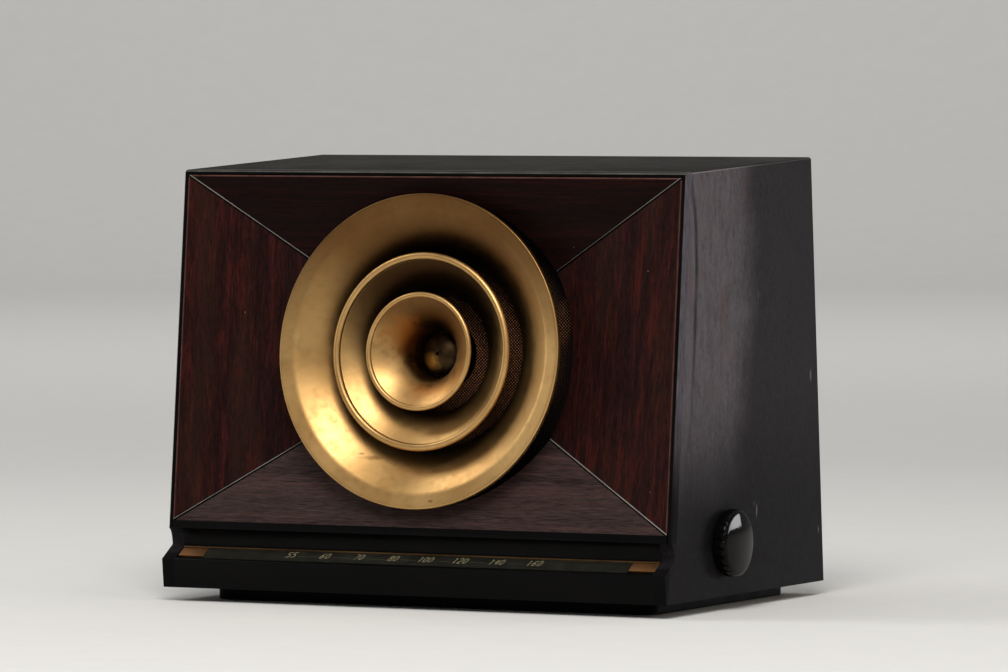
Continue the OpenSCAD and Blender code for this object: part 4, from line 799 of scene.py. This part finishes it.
# Marks on the metal: place and half sizes in mm, weight and tone
SMEARS = ((-31.0, -60.8, 8.0, 1.5, 0.5, srgb(92, 60, 32)),
          (-38.0, -58.6, 2.4, 0.9, 0.5, srgb(60, 38, 20)),
          (12.4, -84.9, 2.2, 1.2, 0.6, srgb(112, 74, 38)))
AMBER = ((-15.0, 9.0, 15.0, 15.0, 0.72, srgb(146, 90, 38)),)
# Each horn's throat, mouth, lip and bead in mm, and how far the painted throat shade reaches, low
# and high
for name, node, profile, sizes, reaches, marks in (
        ("outer_bell", "outer_horn", outer_bell(89.8, 52.0, 7.3, 8.7, 1.9),
         (52.0, 89.8, 4.1, 120.0), (0.36, 0.78), SMEARS),
        ("middle_bell", "middle_horn", rolled_bell(56.6, 33.4, 4.7, 24.0, 2.1),
         (33.4, 56.6, 1.2, 52.4), (0.44, 2.6), ()),
        ("inner_bell", "inner_horn", rolled_bell(33.8, 14.0, 7.0, 26.0, 1.5),
         (14.0, 33.8, 4.5, 30.8), (0.2, 0.8), AMBER)):
    gold = horn_gold(name + "_gold", *sizes, reaches, marks)
    bell = piece(name, lathe(name, profile), gold, "cabinet", AXIS, [node])
    smooth_by_angle(bell, 40.0)

# Cabinet boards with their edges eased
for node, width, material in (
        ("side_board_left", 0.7, SIDE), ("side_board_right", 0.7, SIDE), ("top_board", 0.5, TOP),
        ("mitre_strips", 0.25, STRIP), ("front_bead", 0.35, BEAD),
        ("cove_rail", 0.35, GLOSS), ("dial_rail", 0.45, GLOSS), ("plinth", 0.8, PLINTH),
        ("dial_trim", 0.2, TRIM), ("rear_cover", 0.3, FIBRE), ("dial_end_plates", 0.3, COPPER)):
    eased(node, width, material)

# Knobs: fluted sides, eased shoulders and a slightly domed face, in mm
KNOB_R = 19.2
KNOB_T = 10.0
FLUTES = 24
FLUTE_DEPTH = 0.75
FLUTE_FADE = 0.9


def flute(r, angle):
    """Depth of the flutes at a radius and an angle: none inside the knob's shoulder."""
    phase = (FLUTES * angle / (2 * math.pi)) % 1.0
    groove = max(0.0, math.cos(2 * math.pi * (phase - 0.5))) ** 1.5
    return FLUTE_DEPTH * groove * max(0.0, 1.0 - abs(r - KNOB_R) / FLUTE_FADE)


def knob_mesh(name):
    """A knob that stands on its back, with its face at the top."""
    section = [(0.0, 0.0), (KNOB_R - 2.2, 0.0), (KNOB_R - 1.3, 0.25), (KNOB_R - 0.5, 0.9),
               (KNOB_R - 0.15, 1.8), (KNOB_R, 2.8), (KNOB_R - 0.1, 6.6), (KNOB_R - 0.5, 7.5),
               (KNOB_R - 1.0, 8.0), (KNOB_R - 1.8, 8.35)]
    section += [(r, KNOB_T - 1.45 * (r / (KNOB_R - 2.6)) ** 2)
                for r in (16.6, 15.5, 14.0, 12.5, 11.0, 9.0, 7.0, 5.0, 3.0, 1.5, 0.0)]
    return lathe(name, section, FLUTES * 12, flute)


# Dial numbers and lines, painted on the face of the glass, in mm
GLASS_FACE = -0.4
STROKE, LINE_STROKE = 0.3, 0.16
INK_HEIGHT = 0.04
DIGIT_W, DIGIT_H, ADVANCE, SLANT = 2.3, 4.8, 3.3, 0.34
BASE_LINE = 5.9
DIGITS = {
    "0": [[(0.5, 0.0), (0.15, 0.15), (0.0, 0.5), (0.15, 0.85), (0.5, 1.0), (0.85, 0.85),
           (1.0, 0.5), (0.85, 0.15), (0.5, 0.0)]],
    "1": [[(0.25, 0.8), (0.55, 1.0), (0.55, 0.0)]],
    "2": [[(0.0, 0.78), (0.2, 0.97), (0.55, 1.0), (0.9, 0.86), (0.92, 0.62), (0.6, 0.36),
           (0.0, 0.0), (1.0, 0.0)]],
    "4": [[(0.75, 0.0), (0.75, 1.0), (0.0, 0.3), (1.0, 0.3)]],
    "5": [[(0.95, 1.0), (0.15, 1.0), (0.05, 0.56), (0.5, 0.64), (0.9, 0.5), (0.95, 0.25),
           (0.6, 0.02), (0.0, 0.08)]],
    "6": [[(0.85, 0.95), (0.4, 0.85), (0.05, 0.4), (0.1, 0.12), (0.45, 0.0), (0.85, 0.12),
           (0.92, 0.38), (0.6, 0.55), (0.15, 0.42)]],
    "7": [[(0.0, 1.0), (1.0, 1.0), (0.35, 0.0)]],
    "8": [[(0.5, 0.54), (0.15, 0.68), (0.15, 0.9), (0.5, 1.0), (0.85, 0.9), (0.85, 0.68),
           (0.5, 0.54), (0.05, 0.36), (0.05, 0.12), (0.5, 0.0), (0.95, 0.12), (0.95, 0.36),
           (0.5, 0.54)]],
}
# Number and the place of its middle
NUMBERS = ((55, -80.1), (60, -58.0), (70, -36.0), (80, -13.7), (100, 7.1), (120, 29.3),
           (140, 52.7), (160, 76.7))


def smoothed(points, rounds=2):
    """Corner cutting, so that a digit's stroke bends softly."""
    for _ in range(rounds):
        out = [points[0]]
        for (ax, ay), (bx, by) in zip(points, points[1:]):
            out.append((0.8 * ax + 0.2 * bx, 0.8 * ay + 0.2 * by))
            out.append((0.2 * ax + 0.8 * bx, 0.2 * ay + 0.8 * by))
        out.append(points[-1])
        points = out
    return points


def ribbon(bm, points, width):
    """A thin raised stroke along points, in mm."""
    count = len(points)
    low, high = [], []
    for k, (x, y) in enumerate(points):
        ax, ay = points[max(0, k - 1)]
        bx, by = points[min(count - 1, k + 1)]
        length = math.hypot(bx - ax, by - ay) or 1.0
        nx, ny = -(by - ay) / length * width / 2, (bx - ax) / length * width / 2
        for z, rows in ((0.0, low), (INK_HEIGHT, high)):
            rows.append((bm.verts.new(((x + nx) * MM, (y + ny) * MM, z * MM)),
                         bm.verts.new(((x - nx) * MM, (y - ny) * MM, z * MM))))
    for k in range(count - 1):
        (a, b), (c, d) = high[k], high[k + 1]
        (e, f), (g, h) = low[k], low[k + 1]
        bm.faces.new((a, b, d, c))
        bm.faces.new((e, g, h, f))
        bm.faces.new((a, c, g, e))
        bm.faces.new((b, f, h, d))
    for k in (0, count - 1):
        (a, b), (c, d) = high[k], low[k]
        bm.faces.new((a, b, d, c))


def dial_print():
    """Slanted numbers in one mesh, the faint line between them in another."""
    figures, lines = bmesh.new(), bmesh.new()
    spans = []
    for value, centre in NUMBERS:
        text = str(value)
        width = ADVANCE * (len(text) - 1) + DIGIT_W
        x0 = centre - width / 2
        for k, char in enumerate(text):
            for stroke in DIGITS[char]:
                points = [(x0 + k * ADVANCE + px * DIGIT_W + py * DIGIT_H * SLANT - 0.8,
                           BASE_LINE + py * DIGIT_H) for px, py in smoothed(stroke)]
                ribbon(figures, points, STROKE)
        spans.append((x0 - 1.6, x0 + width + 1.6))
    for (_, left), (right, _) in zip(spans, spans[1:]):
        ribbon(lines, [(left + 0.6, BASE_LINE + 1.2), (right - 0.4, BASE_LINE + 1.2)], LINE_STROKE)
    return (("dial_print", from_bmesh("dial_print", figures, smooth=False), INK),
            ("dial_lines", from_bmesh("dial_lines", lines, smooth=False), FAINT))


for name, mesh, ink in dial_print():
    piece(name, mesh, ink, "cabinet", on_ledge(0, 0, GLASS_FACE + 0.01))

for side, node, body in ((1, "tuning_knob", "tuning_control"), (-1, "volume_knob", "volume_set")):
    low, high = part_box(node)
    turn = Matrix.Rotation(math.pi / 2 * side, 4, "Y")
    inner = low.x if side > 0 else high.x
    place = Matrix.Translation((inner, (low.y + high.y) / 2, (low.z + high.z) / 2)) @ turn
    name = node + "_fluted"
    made = piece(name, knob_mesh(name), KNOB, body, place, [node])
    smooth_by_angle(made, 45.0)


# Camera, solved from the photograph: angles, focal length in pixels of the image, and a point of
# the radio, in mm, with its place as seen from the eye (right, up and forward)
YAW, PITCH, ROLL = math.radians(27.81), math.radians(2.41), math.radians(-0.22)
IMAGE_W = 1008.0
SENSOR_W = 36.0
FOCAL = 7265.0
SOLVED_POINT = Vector((0, -101.3, 8.0))
SEEN_AT = Vector((-52.99, -147.23, 4113.28))

# Floor and backdrop, in metres: half width, front and back ends of the floor, bend and height
SWEEP_HALF, SWEEP_FRONT, SWEEP_BACK = 8.0, -6.0, 5.0
SWEEP_BEND, SWEEP_TOP = 1.4, 6.0
BEND_STEPS = 16


def sweep():
    """One sheet that rises behind the radio, square to the camera."""
    bm = bmesh.new()
    line = [(SWEEP_FRONT, 0.0)]
    for i in range(BEND_STEPS + 1):
        a = math.pi / 2 * i / BEND_STEPS
        line.append((SWEEP_BACK + SWEEP_BEND * math.sin(a), SWEEP_BEND - SWEEP_BEND * math.cos(a)))
    line.append((SWEEP_BACK + SWEEP_BEND, SWEEP_TOP))
    rows = [(bm.verts.new((-SWEEP_HALF, y, z)), bm.verts.new((SWEEP_HALF, y, z)))
            for y, z in line]
    for (a, b), (c, d) in zip(rows, rows[1:]):
        bm.faces.new((a, b, d, c))
    mesh = from_bmesh("studio_sweep", bm)
    g = Graph("studio_paper")
    tooth = g.noise(40.0, 3.0, 0.5)
    shade = g.mix(tooth, srgb(226, 225, 222), srgb(231, 230, 227))
    mesh.materials.append(g.finish(shade, 0.9, specular=0.1))
    obj = added("studio_sweep", mesh)
    obj.matrix_world = Matrix.Rotation(YAW, 4, "Z")


sweep()

# Softboxes: place, what each faces, size in metres, watts, colour and spread in degrees. The back
# one is the bright reflection on the right knob; its narrow spread keeps it off the floor.
WHITE, WARM, COOL = (1.0, 1.0, 1.0), (1.0, 0.97, 0.93), (0.95, 0.98, 1.0)
SOFTBOXES = (
    ("key_softbox", (0.9, -2.0, 2.4), (0, 0, 0.1), (1.5, 1.5), 66.0, WARM, 180.0),
    ("back_softbox", (2.78, 3.29, 0.41), (0.17, 0, 0.08), (1.71, 0.52), 2.7, WHITE, 50.0),
    ("side_softbox", (2.8, -0.6, 1.6), (0, 0, 0.12), (1.4, 1.4), 6.0, WHITE, 180.0),
    ("left_softbox", (-2.7, -1.15, 0.75), (0, 0, 0.14), (0.9, 1.3), 7.0, COOL, 180.0),
    ("high_left_softbox", (-2.0, -0.6, 2.0), (0, 0, 0.14), (0.9, 0.9), 13.0, WHITE, 180.0),
    ("top_softbox", (0.0, 0.5, 2.8), (0, 0, 0.2), (2.0, 1.4), 8.0, WHITE, 180.0),
    ("backdrop_softbox", (-1.17, 2.2, 2.8), (-2.9, 5.5, 1.2), (3.0, 1.0), 44.0, WHITE, 180.0))
WORLD_LEVEL = 0.27


def area_light(name, place, target, size, power, colour, spread):
    data = bpy.data.lights.new(name, "AREA")
    data.shape = "RECTANGLE"
    data.size, data.size_y = size
    data.energy = power
    data.color = colour
    data.spread = math.radians(spread)
    obj = added(name, data)
    obj.location = place
    aim = Vector(target) - Vector(place)
    obj.rotation_euler = aim.to_track_quat("-Z", "Y").to_euler()
    obj.visible_camera = False


for softbox in SOFTBOXES:
    area_light(*softbox)

world = bpy.data.worlds.new("studio")
bpy.context.scene.world = world
world.use_nodes = True
ground = world.node_tree.nodes["Background"]
ground.inputs["Color"].default_value = (*WHITE, 1.0)
ground.inputs["Strength"].default_value = WORLD_LEVEL

# The camera's own directions, then its place
forward = Vector((-math.sin(YAW) * math.cos(PITCH), math.cos(YAW) * math.cos(PITCH),
                  -math.sin(PITCH)))
flat_right = Vector((math.cos(YAW), math.sin(YAW), 0.0))
flat_up = flat_right.cross(forward)
right = math.cos(ROLL) * flat_right + math.sin(ROLL) * flat_up
up = -math.sin(ROLL) * flat_right + math.cos(ROLL) * flat_up
eye = SOLVED_POINT - (right * SEEN_AT.x + up * SEEN_AT.y + forward * SEEN_AT.z)
camera_data = bpy.data.cameras.new("camera")
camera_data.sensor_width = SENSOR_W
camera_data.lens = FOCAL / IMAGE_W * SENSOR_W
camera_data.clip_end = 60.0
camera = added("camera", camera_data)
camera.matrix_world = Matrix.Translation(eye * MM) @ Matrix(
    (right, up, -forward)).transposed().to_4x4()
bpy.context.scene.camera = camera
bpy.context.scene.view_settings.view_transform = "Standard"

bpy.context.view_layer.update()
